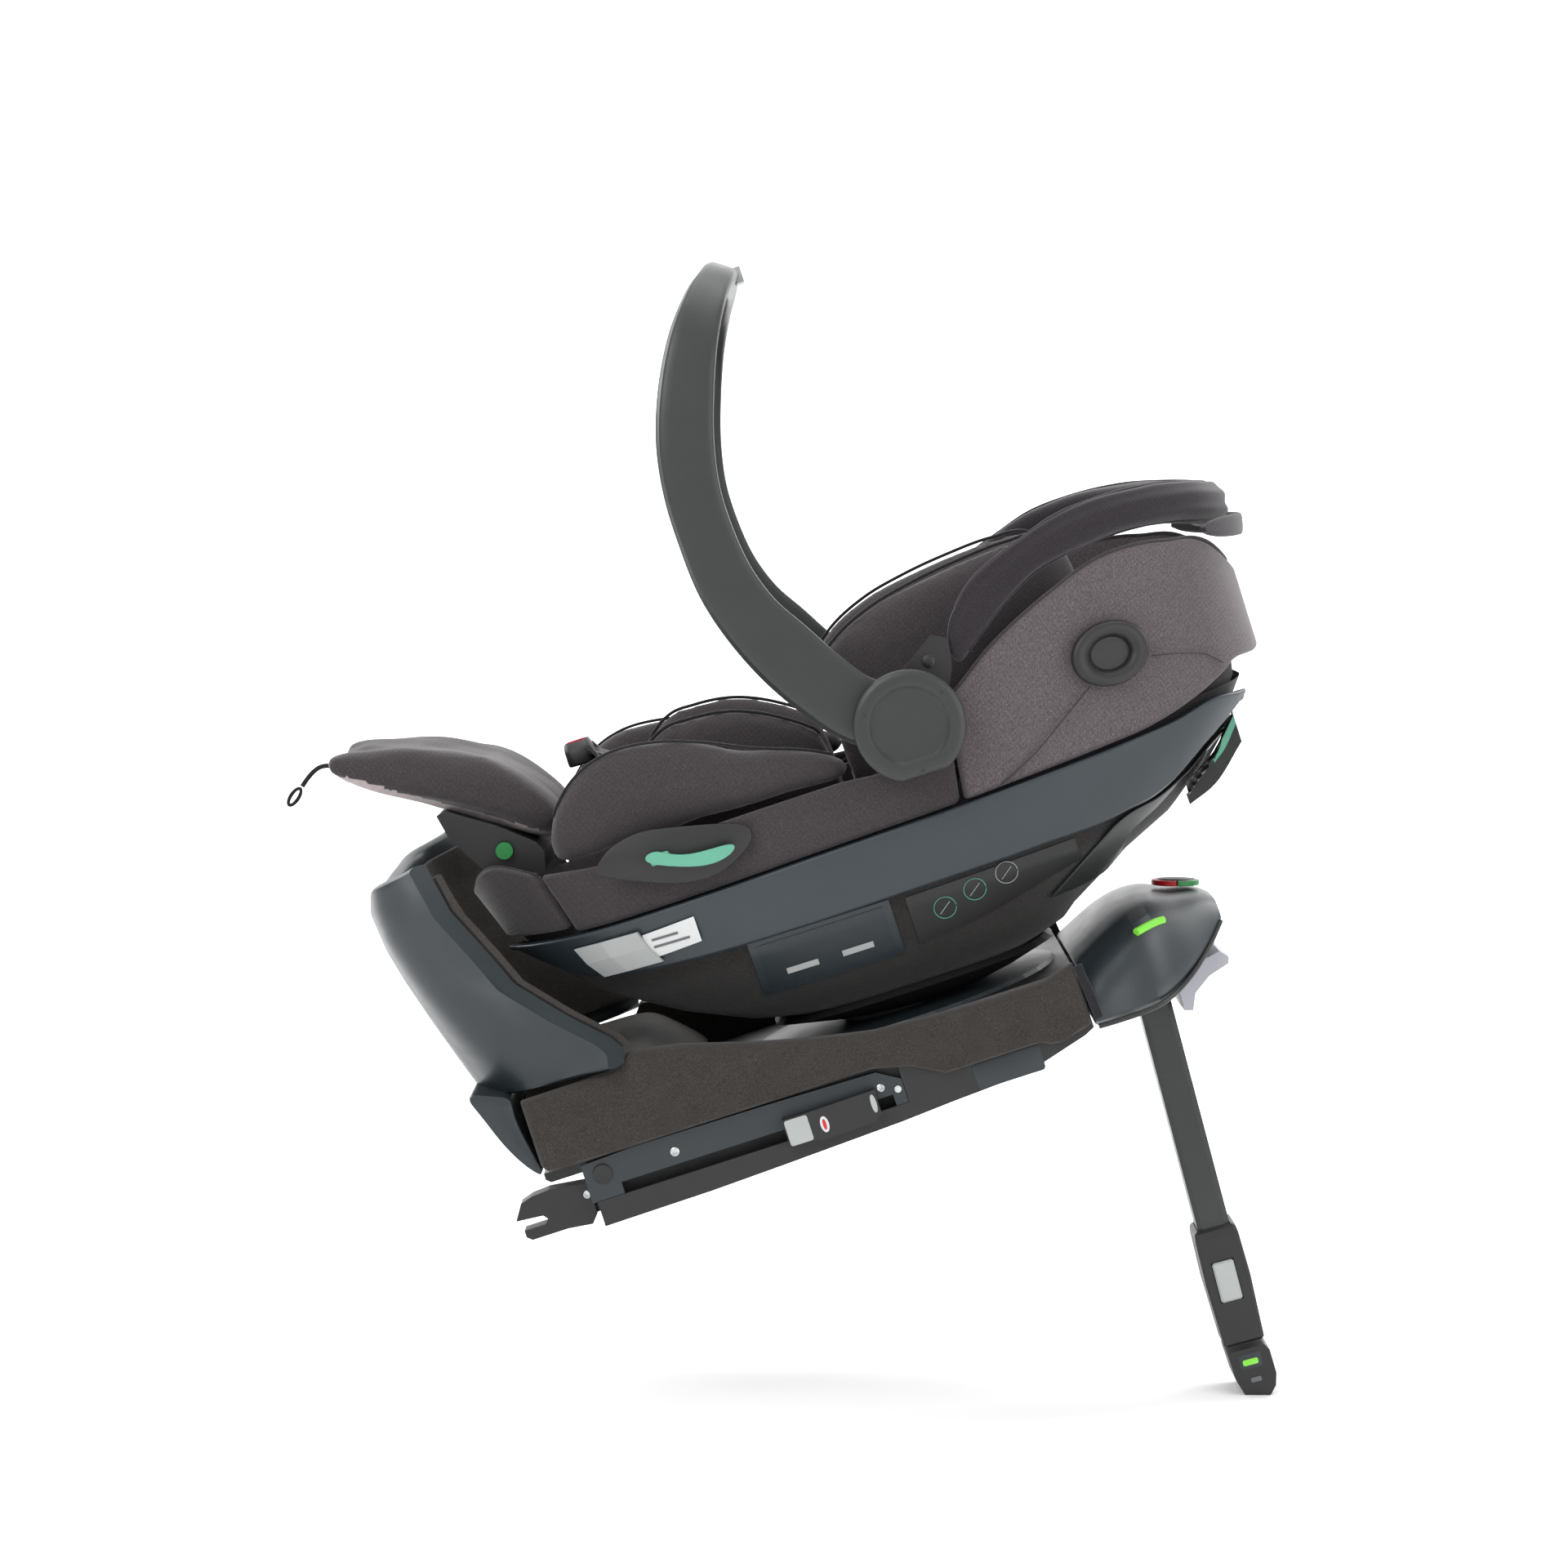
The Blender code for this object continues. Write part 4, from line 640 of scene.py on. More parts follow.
# %% [markdown]
# The tub is expanded bead foam under a thin dark felt, one open bowl. A profile climbs its
# outside, turns over the rim in a small radius and comes down inside, and each row of that
# profile is a ring of the wall's formula.

# %% The tub
tub_turn = turns(0, 360, 241)[:-1]
tub_rim = line(RIM, wall(tub_turn, 250.0 + 0 * tub_turn, 0.0)[:, 0])
climb = np.linspace(0, 1, 30)[:, None]
level = 68 + (236 - 68) * climb
rows = [wall(tub_turn[None, :], level + 0 * tub_turn, 0.0)]
for share in (0.4, 0.8):
    rows.append(wall(tub_turn, 236 + (tub_rim - 238 - 236) * share, 0.0 * tub_turn)[None])
for a in np.linspace(0, math.pi, 7):
    top = wall(tub_turn, tub_rim * 0 + 250.0, (math.cos(a) - 1) * 2.5)
    top[:, 2] = tub_rim - 2.5 + 2.5 * math.sin(a)
    rows.append(top[None])
inner = wall(tub_turn[None, :], level[::-1] + 0 * tub_turn, -5.0)
inner[..., 2] += 5.0 * (1 - climb[::-1] * 0.6)
rows.append(inner)
surface("foam_tub", np.concatenate(rows), "tub_foam", "carrier", around=True, caps=True, sharp=50,
    stands_for=["carrier_tub"])

# %% [markdown]
# A dark moulded rail runs round each side, with a crease along its length where two faces meet.
# It is a strip of the wall whose outset rises to the crease and falls away above it.

# %% The rails
RAIL_LOW = [(45, 205), (60, 187), (75, 174), (90, 168), (110, 165), (160, 162.5), (260, 161.5), (400, 163),
            (500, 164.5), (577, 168), (610, 176), (625, 190), (655, 218)]  # fmt: skip
RAIL_HIGH = [(45, 210), (100, 208), (200, 210), (300, 213), (450, 217), (560, 222), (600, 225),
    (630, 231), (655, 227)]
CREASE = [(150, 166), (220, 168), (450, 185), (560, 198), (650, 218)]


def raised(table, by):
    return [(x, z + by) for x, z in table]


def rail(label, side):
    """Outset = 2..16; the outside stands 1.6 mm proud below the crease line and falls back 1.8 above it."""
    turn = turns(18 * side, 168 * side, 200)
    x = wall(turn, 210 + 0 * turn, 16.0)[:, 0]
    z0, z1, crease = read(RAIL_LOW, x), read(RAIL_HIGH, x), read(CREASE, x)
    tall = np.maximum(z1 - z0, 4.0)
    dz, out = slab(tall, 14.0 + 0 * tall, np.minimum(3.0, tall * 0.4), 44)
    z = (z0 + z1)[:, None] / 2 + dz
    above = np.clip((z - crease[:, None]) / 3.0, 0, 1) * np.clip((x[:, None] - 190) / 60, 0, 1)
    grid = wall(turn[:, None], z, 9.0 + out + (out > 0) * (1.6 - 1.8 * above))
    return surface(f"side_rail_{label}", grid, "rail_plastic", "carrier", True, caps=True, sharp=28,
                   stands_for=[f"rail_{label}"])  # fmt: skip


for label, side in SIDES:
    rail(label, side)
print("tub and rails done")

# %% [markdown]
# The covers hug the shell: dark knit round the foot end and the sides, a lighter heather hood
# round the head end. Each is a strip with a crowned outside, an elastic hem and a few creases.

# %% The fabric covers
SKIRT_TOP = [(20, 250), (27, 262), (95, 261), (130, 257), (240, 261), (330, 262), (400, 262), (450, 290)]
NOSE_SHELL_TOP = [(520, 128), (577, 164), (610, 172), (625, 184), (640, 200), (656, 214), (662, 248)]


def strip_line(name, table, span, outset, look, radius=1.2, body="carrier", read_at=245.0, lift=0.0,
    deep=None, count=160):
    """A line of piping or stitching that follows a table of heights on the wall."""
    turn = turns(*span, count)
    x = wall(turn, read_at + 0 * turn, outset)[:, 0]
    path = wall(turn, read(table, x) + lift, outset + 0 * turn)
    return surface(name, sweep(path, oval(8), deep or radius, radius, (0, 0, 1)), look, body, True,
        caps=True, sharp=80)


for label, side in SIDES:
    cover = skin(f"side_skirt_{label}", (84 * side, 138 * side), raised(RAIL_HIGH, 2), SKIRT_TOP, 2.0,
        10.0, "seat_fabric",
                 radius=3.5, crown=1.2, read_at=240.0, ripple=creases(0.5, 70, side), count=160,
                 stands_for=[f"side_cover_{label}"])  # fmt: skip
cover = skin("foot_skirt", (139, 221), raised(RAIL_HIGH, 6), SKIRT_TOP, 2.0, 10.0, "seat_fabric",
    radius=3.5,
             crown=1.2, read_at=240.0, ripple=creases(0.5, 60, 2.0), count=160,
             stands_for=["foot_cover"])  # fmt: skip
HOOD_TOP = [(420, 292), (440, 300), (480, 326), (510, 341), (540, 353), (590, 367), (640, 362),
    (680, 344), (697, 316)]
HOOD_LOW = [(420, 217.5), (450, 219), (560, 224), (600, 227), (630, 234), (645, 240), (655, 246),
    (662, 251), (697, 252)]
cover = skin("head_hood", (-83.5, 83.5), HOOD_LOW, HOOD_TOP, 2.0, 10.0, "heather_fabric", radius=4.0,
             crown=2.5, read_at=250.0, ripple=creases(0.7, 110, 0.7), count=340, ring=72,
             stands_for=["head_cover"])  # fmt: skip
skin("head_shell", (-52, 52), 117.0, NOSE_SHELL_TOP, 4.2, 8.2, "charcoal_plastic", radius=1.6,
    read_at=200.0, count=220,
     ring=60, stands_for=["head_end_shell"])  # fmt: skip
strip_line("skirt_piping_foot", SKIRT_TOP, (139, 221), 6.0, "webbing", 1.6, lift=-0.4)
strip_line("hood_piping", HOOD_TOP, (-83, 83), 6.0, "seat_fabric", 2.0, lift=0.0, read_at=250.0, count=300)


def wall_seam(name, points, outset, look, side, radius=0.8, body="carrier"):
    """A stitched line that follows the wall: its points are given in X and Z, and y comes from the wall."""
    path = trace(points, 60)
    y = side * wall_y(path[:, 0], path[:, 1], outset)
    grid = sweep(np.stack([path[:, 0], y, path[:, 1]], 1), oval(8), radius, radius)
    return surface(name, grid, look, body, True, caps=True, sharp=80)


for label, side in SIDES:
    wall_seam(f"hood_seam_{label}", [(547, 273), (520, 256), (490, 237), (457, 221)], 12.2, "seat_fabric",
        side)
    wall_seam(f"hood_seam_back_{label}", [(602, 280), (625, 274), (645, 266), (656, 255)], 12.0,
        "seat_fabric", side)
print("covers done")

# %% [markdown]
# The padding inside comes in layers: a quilted liner in the shell, an insert for a newborn, a
# headrest with two wings, and a bolster along each side. Each starts as rings of a smooth
# section carried from foot to head. All but the liner are then stuffed by a short cloth
# simulation. Their piping is laid on the shape from before it.

# %% The liner
LINER_LEVELS = [(0.66, 0.56, 188.0), (0.76, 0.70, 196.0), (0.84, 0.84, 215.0), (0.88, 0.88, 240.0)]
liner_turn = turns(0, 360, 181)[:-1]
plan = wall(liner_turn, 250.0 + 0 * liner_turn, 0.0)


def liner_rows(inset, lift):
    """The wall's own plan, scaled to a share of its length and width; the last row follows the rim."""
    steps = np.linspace(0, 4, 26)
    shares = np.array(LINER_LEVELS + [(0.965, 0.955, 0.0)])
    long_ = np.interp(steps, range(5), shares[:, 0])[:, None] - inset / HALF_LENGTH
    wide = np.interp(steps, range(5), shares[:, 1])[:, None] - inset / HALF_WIDTH
    x = MIDDLE + (plan[None, :, 0] - MIDDLE) * long_
    y = plan[None, :, 1] * wide
    rim = line(RIM, x) - 4
    flat = np.interp(steps, range(4), shares[:4, 2])[:, None] + lift
    blend = np.clip(steps - 3, 0, 1)[:, None]
    return np.stack([x, y, flat * (1 - blend) + rim * blend], -1)


liner_grid = np.concatenate([liner_rows(0.0, 0.0), liner_rows(12.0, 12.0)[::-1]])
quilt = creases(1.2, 55, 0.4)
half = len(liner_grid) // 2
liner_grid[half:, :, 2] += quilt(liner_grid[half:, :, 0], liner_grid[half:, :, 1])
liner = surface("liner", liner_grid, "seat_fabric", "carrier", around=True, caps=True, sharp=60,
    stands_for=["seat_liner"])

# %% The insert and the headrest


def trough(stations, count, ring=72):
    """Rings of a padded U: the control points of each section are joined by one closed smooth curve."""
    table = np.array(stations, float)
    x = np.linspace(table[0, 0], table[-1, 0], count)
    outer, inner, bottom, floor, top = (read(table[:, [0, k]], x)[:, None] for k in range(1, 6))
    ends = np.minimum(np.minimum(x - x[0], x[-1] - x) / 9.0, 1)[:, None]
    round_off = np.sqrt(np.maximum(1 - (1 - ends) ** 2, 0.03))
    zero = 0 * outer
    y = np.concatenate([zero, .5 * outer, .82 * outer, .95 * outer, outer, outer - 3,
        (outer + inner) / 2 + 2,
                        inner + 3, inner, .93 * inner, .78 * inner, .5 * inner, zero], 1)  # fmt: skip
    z = np.concatenate([bottom, bottom, bottom + 6, bottom + 20, (bottom + top) / 2, top - 9, top, top - 8,
                        (floor + top) / 2, floor + 22, floor + 6, floor, floor], 1)  # fmt: skip
    y, z = np.concatenate([y, -y[:, -2:0:-1]], 1), np.concatenate([z, z[:, -2:0:-1]], 1)
    n = y.shape[1]
    at = np.linspace(0, n, ring, endpoint=False)
    k = at.astype(int)
    t = at - k
    weights = np.stack([(1 - t) ** 3, 3 * t**3 - 6 * t**2 + 4, -3 * t**3 + 3 * t**2 + 3 * t + 1, t**3]) / 6
    y = sum(weights[i] * y[:, (k + i - 1) % n] for i in range(4))
    z = sum(weights[i] * z[:, (k + i - 1) % n] for i in range(4))
    core = (floor + bottom) / 2
    z = core + (z - core) * (0.55 + 0.45 * round_off)
    y = y * (0.93 + 0.07 * round_off)
    return np.stack(np.broadcast_arrays(x[:, None], y, z), -1)


INSERT = [(172, 96, 78, 212, 226, 302), (195, 108, 82, 206, 222, 334), (215, 112, 83, 205, 221, 346),
          (235, 114, 84, 204, 220, 347), (275, 116, 84, 204, 220, 341), (315, 116, 84, 206, 222, 320),
          (338, 114, 86, 210, 224, 302)]  # fmt: skip
HEADREST = [(346, 134, 98, 222, 240, 358), (372, 138, 98, 218, 240, 376), (400, 140, 98, 218, 242, 388),
            (440, 139, 96, 220, 244, 397), (480, 134, 92, 222, 248, 402), (520, 118, 84, 228, 256, 404),
            (550, 95, 62, 236, 264, 400), (570, 68, 42, 246, 278, 382)]  # fmt: skip
for name, table, body, node in (
    ("newborn_insert", INSERT, "carrier", "infant_insert"),
    ("head_support", HEADREST, "headrest", "headrest"),
):
    grid = trough(table, 90)
    piece = surface(name, grid, "seat_fabric", body, around=True, caps=True, sharp=70, stands_for=[node])
    puff(piece, 0.5, 4.0)
    top = grid[:, :, 2].argmax(axis=1)
    edge = grid[np.arange(len(grid)), top][3:-3]
    edge[:, 1] = np.abs(edge[:, 1])
    for label, side in SIDES:
        seam = edge * (1, side, 1) + (0, side * 4.0, -1.2)
        surface(f"{name}_seam_{label}", sweep(seam, oval(8), 1.4, 1.4, (0, 0, 1)), "webbing", body, True,
            caps=True, sharp=80)

# %% The side bolsters
BOLSTER_TOP = [(100, 288), (112, 306), (125, 320), (145, 333), (165, 339), (200, 338), (240, 326),
    (275, 310),
               (330, 288), (350, 276)]  # fmt: skip
for label, side in SIDES:
    x = np.linspace(101, 346, 80)
    top, low = read(BOLSTER_TOP, x), 264.5
    middle = HALF_WIDTH * np.cbrt(1 - np.abs((x - MIDDLE) / HALF_LENGTH) ** 3) - 16
    ends = np.minimum(np.minimum(x - x[0], x[-1] - x) / 14.0, 1)
    round_off = np.sqrt(np.maximum(1 - (1 - ends) ** 2, 0.03))
    ring = oval(48, 2.6)
    y = side * (middle[:, None] + 17.5 * round_off[:, None] * ring[None, :, 0])
    z = low + (top - low)[:, None] * (0.5 + 0.5 * ring[None, :, 1] * (0.4 + 0.6 * round_off[:, None]))
    z = z + creases(1.3, 70, side)(x[:, None], y)
    z = np.maximum(z, low)
    grid = np.stack(np.broadcast_arrays(x[:, None], y, z), -1)
    piece = surface(f"bolster_{label}", grid, "seat_fabric", "carrier", True, caps=True, sharp=70,
                    stands_for=[f"side_bolster_{label}"])  # fmt: skip
    puff(piece, 0.5, 3.0)
    seam = np.stack([x, side * (middle + 8), low + (top - low) * 0.985 + 0.8], 1)[3:-3]
    surface(f"bolster_seam_{label}", sweep(seam, oval(8), 1.3, 1.3, (0, 0, 1)), "webbing", "carrier",
        True, caps=True, sharp=80)
print("padding done")

# %% [markdown]
# The leg rest is a cushion of pinkish knit on its underside and dark cloth on top. It sags into
# a valley between the legs. A closed ring of points per slice, with the outline rounded by a
# spline, gives the crown that a flat prism lacks.

# %% The leg rest
REST_LOOP = [(112, 299), (110, 309), (104, 321), (89, 343), (68, 362), (43, 377), (12, 389), (-18, 396),
    (-45, 403),
             (-54, 401), (-54, 391), (-46, 383), (-18, 361), (12, 343), (38, 328), (61, 311), (84, 292),
             (98, 287),
             (108, 290)]  # fmt: skip


def closed_spline(points, count):
    """A cubic B-spline round a closed row of points: each point is a weighted mean of four neighbours."""
    p = np.array(points, float)
    n = len(p)
    at = np.linspace(0, n, count, endpoint=False)
    k, t = at.astype(int), (at - at.astype(int))[:, None]
    parts = ((1 - t) ** 3, 3 * t**3 - 6 * t**2 + 4, -3 * t**3 + 3 * t**2 + 3 * t + 1, t**3)
    return sum(w * p[(k + i - 1) % n] for i, w in enumerate(parts)) / 6


loop = closed_spline(REST_LOOP, 96)
share = np.sin(np.linspace(-math.pi / 2, math.pi / 2, 61))[:, None]
dip = 15.0 * (1 - share**2)
on_top = np.clip((loop[:, 1] - (391 - (loop[:, 0] + 50) * 0.78)) / 6, 0, 1)
centre = np.stack([loop[:, 0], 372 - (loop[:, 0] + 20) * 0.55], 1)
tuck = np.sqrt(np.maximum(1 - share**8, 0.0))
x = loop[:, 0] + 0.5 * dip * (loop[:, 0] > 60) - 0.4 * dip * (loop[:, 0] < -40)
z = centre[:, 1] + (loop[:, 1] - centre[:, 1]) * (0.25 + 0.75 * tuck) + (6.0 - dip) * on_top * tuck
z = z + creases(0.9, 60, 0.3)(x, 100 * share)
rest_grid = np.stack(np.broadcast_arrays(x, 99.0 * share, z), -1)
leg_rest = surface("leg_rest_pad", rest_grid, "knit_fabric", "leg_rest", True, caps=True, sharp=70,
                   stands_for=["leg_rest_cushion"])  # fmt: skip
leg_rest.data.materials.append(LOOKS["seat_fabric"])
puff(leg_rest, 0.4, 3.0)
count = len(leg_rest.data.polygons)
centres = np.empty(count * 3)
leg_rest.data.polygons.foreach_get("center", centres)
level = centres.reshape(-1, 3) @ TURN * 1000
is_top = level[:, 2] > 388 - (level[:, 0] + 50) * 0.66
leg_rest.data.polygons.foreach_set("material_index", is_top.astype(np.int32))
print("leg rest done")

# %% [markdown]
# The harness is flat webbing, which a stuffed simulation would erase, so it is modelled as a
# ribbon: a rounded slab carried along the strap's path, a little thicker at its woven edges.


# %% The harness
def ribbon(name, points, wide, thick, body, look="webbing", side_on=(0, 1, 0), count=60):
    """A slab of section wide x thick along a smooth path; its edges are 1.3 times as thick."""
    path = trace(points, count)
    ring = oval(28, 6.0)
    ring[:, 0] *= 1 + 0.3 * (np.abs(ring[:, 1]) > 0.8)
    return surface(name, sweep(path, ring, thick / 2, wide / 2, side_on), look, body, True, caps=True,
        sharp=60)


strap = ribbon("crotch_webbing", [(150, 0, 215), (147, 0, 250), (141, 0, 290), (137.5, 0, 328)], 30, 2.6,
    "carrier")
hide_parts("crotch_strap")
for label, side in SIDES:
    ribbon(f"shoulder_strap_{label}", [(330, side * 36, 236), (280, side * 38, 240),
        (230, side * 36, 262), (190, side * 26, 300),
                                       (160, side * 17, 330), (150, side * 13, 337)], 30, 2.4,
                                       "carrier")  # fmt: skip
    ribbon(f"lap_strap_{label}", [(215, side * 78, 232), (190, side * 70, 262), (165, side * 45, 312),
        (152, side * 20, 336)],
           26, 2.4, "carrier")  # fmt: skip
    pad = ribbon(f"shoulder_pad_{label}",
        [(318, side * 37, 241), (280, side * 38, 246), (240, side * 37, 262), (208, side * 31, 290)],
                 50, 11, "carrier", "seat_fabric")  # fmt: skip
ring = oval(40, 4.0)
steps = np.array([(0, .90, .90), (.6, .97, .97), (2, 1, 1), (12.5, 1, 1), (15, .97, .92),
    (17.6, .93, .76), (19.0, .88, .68),
                  (19.4, .84, .64), (19.0, .78, .61), (15.1, .76, .60)])  # fmt: skip
buckle_grid = np.stack([138 + 12 * ring[None, :, 0] * steps[:, 1:2], 21 * ring[None, :, 1] * steps[:, 2:],
                        330 + steps[:, :1] + 0 * ring[None, :, 0]], -1)  # fmt: skip
surface("buckle_body", buckle_grid, "black_plastic", "carrier", True, caps=True, sharp=50,
    stands_for=["harness_buckle"])
print("harness done")

# %% [markdown]
# The carry handle is a moulded bow. Its flat arms lean over the seat, turn at the top and meet in
# a rounder grip. The section's width and depth change along the bow, so both are tables read
# along its length. Its arms have a chamfer along their inner edge that catches the light.

# %% The carry handle
HUB = (402.0, 290.0)
HANDLE_ROWS = [(402, 0, 30, 1, .5), (385, .030, 27.5, 1, .5), (368, .060, 27, 1, .5),
    (346, .130, 27, 1, .5), (326, .215, 27, 1, .5),
               (311, .290, 24.7, 1, .5), (301, .370, 23.5, 1, .5), (296.5, .480, 22.3, 1, .5),
               (297, .570, 22.3, .998, .5),
               (303, .660, 22.8, .99, .52), (317, .765, 22, .965, .56), (335, .860, 19.5, .91, .62),
               (352, .925, 16.5, .80, .70), (363, .957, 14.5, .62, .80), (367.5, .968, 13.5, .38, .88),
               (368.5, .970, 13, .13, .90)]  # fmt: skip
half = np.array(HANDLE_ROWS, float)
half = np.stack([half[:, 0], half[:, 3] * 198.9, 290 + 394 * half[:, 1], half[:, 2], half[:, 4] * 13], 1)
both = np.concatenate([half, half[::-1] * (1, -1, 1, 1, 1)])
bow = trace(both, 240)
path = bow[:, :3]
tangent = np.gradient(path, axis=0)
tangent /= np.linalg.norm(tangent, axis=1)[:, None]
rise = np.stack([np.gradient(path[:, 0]), 0 * path[:, 0], np.gradient(path[:, 2])], 1)
size = np.linalg.norm(rise, axis=1)
lean = np.arctan2(np.abs(rise[:, 2]), np.where(rise[:, 2] >= 0, rise[:, 0], -rise[:, 0]))
first = int(len(path) * 0.36)
steady = np.clip((np.abs(path[:, 1]) / 198.9 - 0.55) / 0.3, 0, 1)
lean = lean * steady + lean[first] * (1 - steady)
across = np.stack([np.sin(lean), 0 * lean, -np.cos(lean)], 1)
deep = np.cross(tangent, across)
deep /= np.linalg.norm(deep, axis=1)[:, None]
a = np.linspace(0, 2 * math.pi, 40, endpoint=False)
ring = oval(40, 5.0)
chamfer = 1 - 0.10 * (ring[:, 0] < -0.6) * (ring[:, 1] > 0.3)
grid = path[:, None] + bow[:, None, 3:4] * ring[None, :, :1] * across[:, None] * chamfer[None, :, None]
grid = grid + bow[:, None, 4:5] * 0.97 * ring[None, :, 1:] * deep[:, None]
surface("carry_bow", grid, "charcoal_plastic", "handle", True, caps=True, sharp=35,
    stands_for=["carry_handle"])
print("bow done")

# %% [markdown]
# Each end of the bow turns on a hub, under a round cap with a shallow dish. All of these are
# turned shapes: a profile of (radius, distance out) swung round the hub's axis.


# %% Turned pieces
def turned(name, centre, profile, side, look, body, count=72, shape=None, **more):
    """Each profile row (radius, |y|) becomes a circle in X and Z; shape scales its radius by angle."""
    a = np.linspace(0, 2 * math.pi, count, endpoint=False)
    rows = np.array(profile, float)
    r = rows[:, :1] * (1 if shape is None else shape(a)[None, :])
    grid = np.stack(np.broadcast_arrays(centre[0] + r * np.cos(a), side * rows[:, 1:2],
        centre[1] + r * np.sin(a)), -1)
    return surface(name, grid, look, body, around=True, caps=True, **more)


def flat_bottom(a):
    """A circle whose lowest part is cut by a chord."""
    return np.minimum(1.0, 0.90 / np.maximum(-np.sin(a), 0.5))


CAP_PROFILE = [(14, 192.9), (14, 205.9), (43.2, 205.9), (44, 206.8), (44, 214.2), (43.4, 216.4),
    (41.5, 217.8), (39, 218.4),
               (33.5, 218.4), (31.4, 218.0), (30, 216.6), (28.5, 215.5), (20, 215.1),
               (8, 215.0)]  # fmt: skip
for label, side in SIDES:
    turned(f"hub_disc_{label}", HUB, CAP_PROFILE, side, "charcoal_plastic", "carrier", shape=flat_bottom,
        sharp=30,
           stands_for=[f"hub_cap_{label}"])  # fmt: skip
    for k in range(3):
        at = 0.5 + k * 2 * math.pi / 3
        spot = (HUB[0] + 36.2 * math.cos(at), HUB[1] + 36.2 * math.sin(at))
        turned(f"hub_mark_{label}_{k}", spot, [(1.5, 218.0), (1.5, 218.5), (1.1, 218.8)], side,
            "black_plastic", "carrier", 20)
print("hubs done")

# %% [markdown]
# The canopy is pushed back and lies folded: a soft sleeve of doubled cloth that curves from one
# side, round the head end, to the other. One closed section is carried round that plan. The
# folds run along it, so the section's outside carries long waves that fade at the ends.

# %% The folded canopy
CANOPY_ROWS = [(450, 318, 350, 1.0, 10), (462, 327, 363, 1.0, 13), (480, 340, 380, .995, 16),
    (500, 354, 390, .985, 18),
               (530, 370, 400, .965, 20), (560, 377, 409, .93, 24), (602, 380, 412, .85, 28),
               (645, 377, 409, .72, 32),
               (682, 368, 401, .52, 34), (702, 362, 395, .28, 34), (708, 358, 391, 0, 34)]  # fmt: skip
rows = np.array(CANOPY_ROWS, float)
rows[:, 3] *= 187.2
rows = np.concatenate([rows, rows[-2::-1] * (1, 1, 1, -1, 1)])
walk = trace(rows[:, [0, 3, 1, 2, 4]], 260)
cx, cy, low, high, thick = walk.T
tx, ty = np.gradient(cx), np.gradient(cy)
size = np.hypot(tx, ty)
inward = np.stack([-ty, tx], 1) / size[:, None]
flip = np.sign(inward[:, 0] * (MIDDLE - cx) - inward[:, 1] * cy)
inward *= flip[:, None]
ring = oval(64, 2.8)
travel = np.cumsum(size)
ends = np.minimum(np.minimum(travel, travel[-1] - travel) / 10.0, 1)
round_off = np.sqrt(np.maximum(1 - (1 - ends) ** 2, 0.04))[:, None]
depth = thick[:, None] * (0.5 - 0.5 * ring[None, :, 0] * round_off)
folds = 1.3 * np.sin(ring[:, 1] * 7.5)[None, :] * (ring[:, 0] > -0.4)[None, :] * round_off
wander = 1.0 * np.sin(travel / 46.0)[:, None] * (1 - ring[None, :, 1] ** 2)
depth = depth - folds * 0.8 + wander * 0.6
z = (low + high)[:, None] / 2 + ring[None, :, 1] * (high - low)[:, None] / 2 * round_off
z = z + creases(0.6, 80, 1.0)(travel[:, None], z)
grid = np.stack([cx[:, None] + inward[:, :1] * depth, cy[:, None] + inward[:, 1:] * depth, z], -1)
canopy = surface("canopy_sleeve", grid, "canopy_fabric", "canopy", True, caps=True, sharp=70,
    stands_for=["canopy_fabric"])
for share, name, look in ((0.93, "canopy_top_seam", "seat_fabric"), (-0.90, "canopy_hem", "webbing")):
    seam = np.stack([cx + inward[:, 0] * thick * 0.35, cy + inward[:, 1] * thick * 0.35,
                     (low + high) / 2 + share * (high - low) / 2 + 1.0 * np.sign(share)],
                     1)[8:-8]  # fmt: skip
    surface(name, sweep(seam, oval(8), 1.2, 1.2, (0, 0, 1)), look, "canopy", True, caps=True, sharp=80)
visor_turn = np.linspace(-1, 1, 90)
visor_y = 128 * visor_turn
visor_x = 712 - 40 * np.abs(visor_turn) ** 2.2
visor_path = np.stack([visor_x, visor_y, 352 + 9 * np.abs(visor_turn) ** 2], 1)
ring = oval(20, 3.0)
visor = sweep(visor_path, ring, 3.2, 9.0 * np.sqrt(np.maximum(1 - np.abs(visor_turn) ** 6, 0.05)),
    (0.25, 0, 1))
surface("canopy_peak", visor, "canopy_fabric", "canopy", True, caps=True, sharp=50)
for label, side in SIDES:
    turned(f"canopy_rivet_{label}", (432, 332), [(5.2, 188.2), (5.2, 189.2), (3.6, 190.2), (1.2, 190.4)],
        side,
           "black_plastic", "canopy", 28)  # fmt: skip
print("canopy done")

# %% [markdown]
# The base is a moulded casing that the vehicle's anchors hold. At its foot end stands the
# rebound bar, a tall curved shield. Its plan at each height is a curve from edge to edge, and
# the heights are swept up from the foot to a rounded rim.

# %% The rebound bar
BAR_FRONT = [(44, -2), (70, -10), (105, -22), (140, -32), (180, -43), (220, -53), (250, -59), (285, -62),
    (305, -56)]
BAR_TURN = [(44, 10), (107, 80), (120, 70), (155, 40), (200, 10), (215, 0), (260, -18), (285, -15),
    (305, -18)]
BAR_EDGE = [(44, 14), (100, 92), (115, 96), (125, 90), (155, 60), (190, 30), (215, 20), (260, 0), (305, -8)]


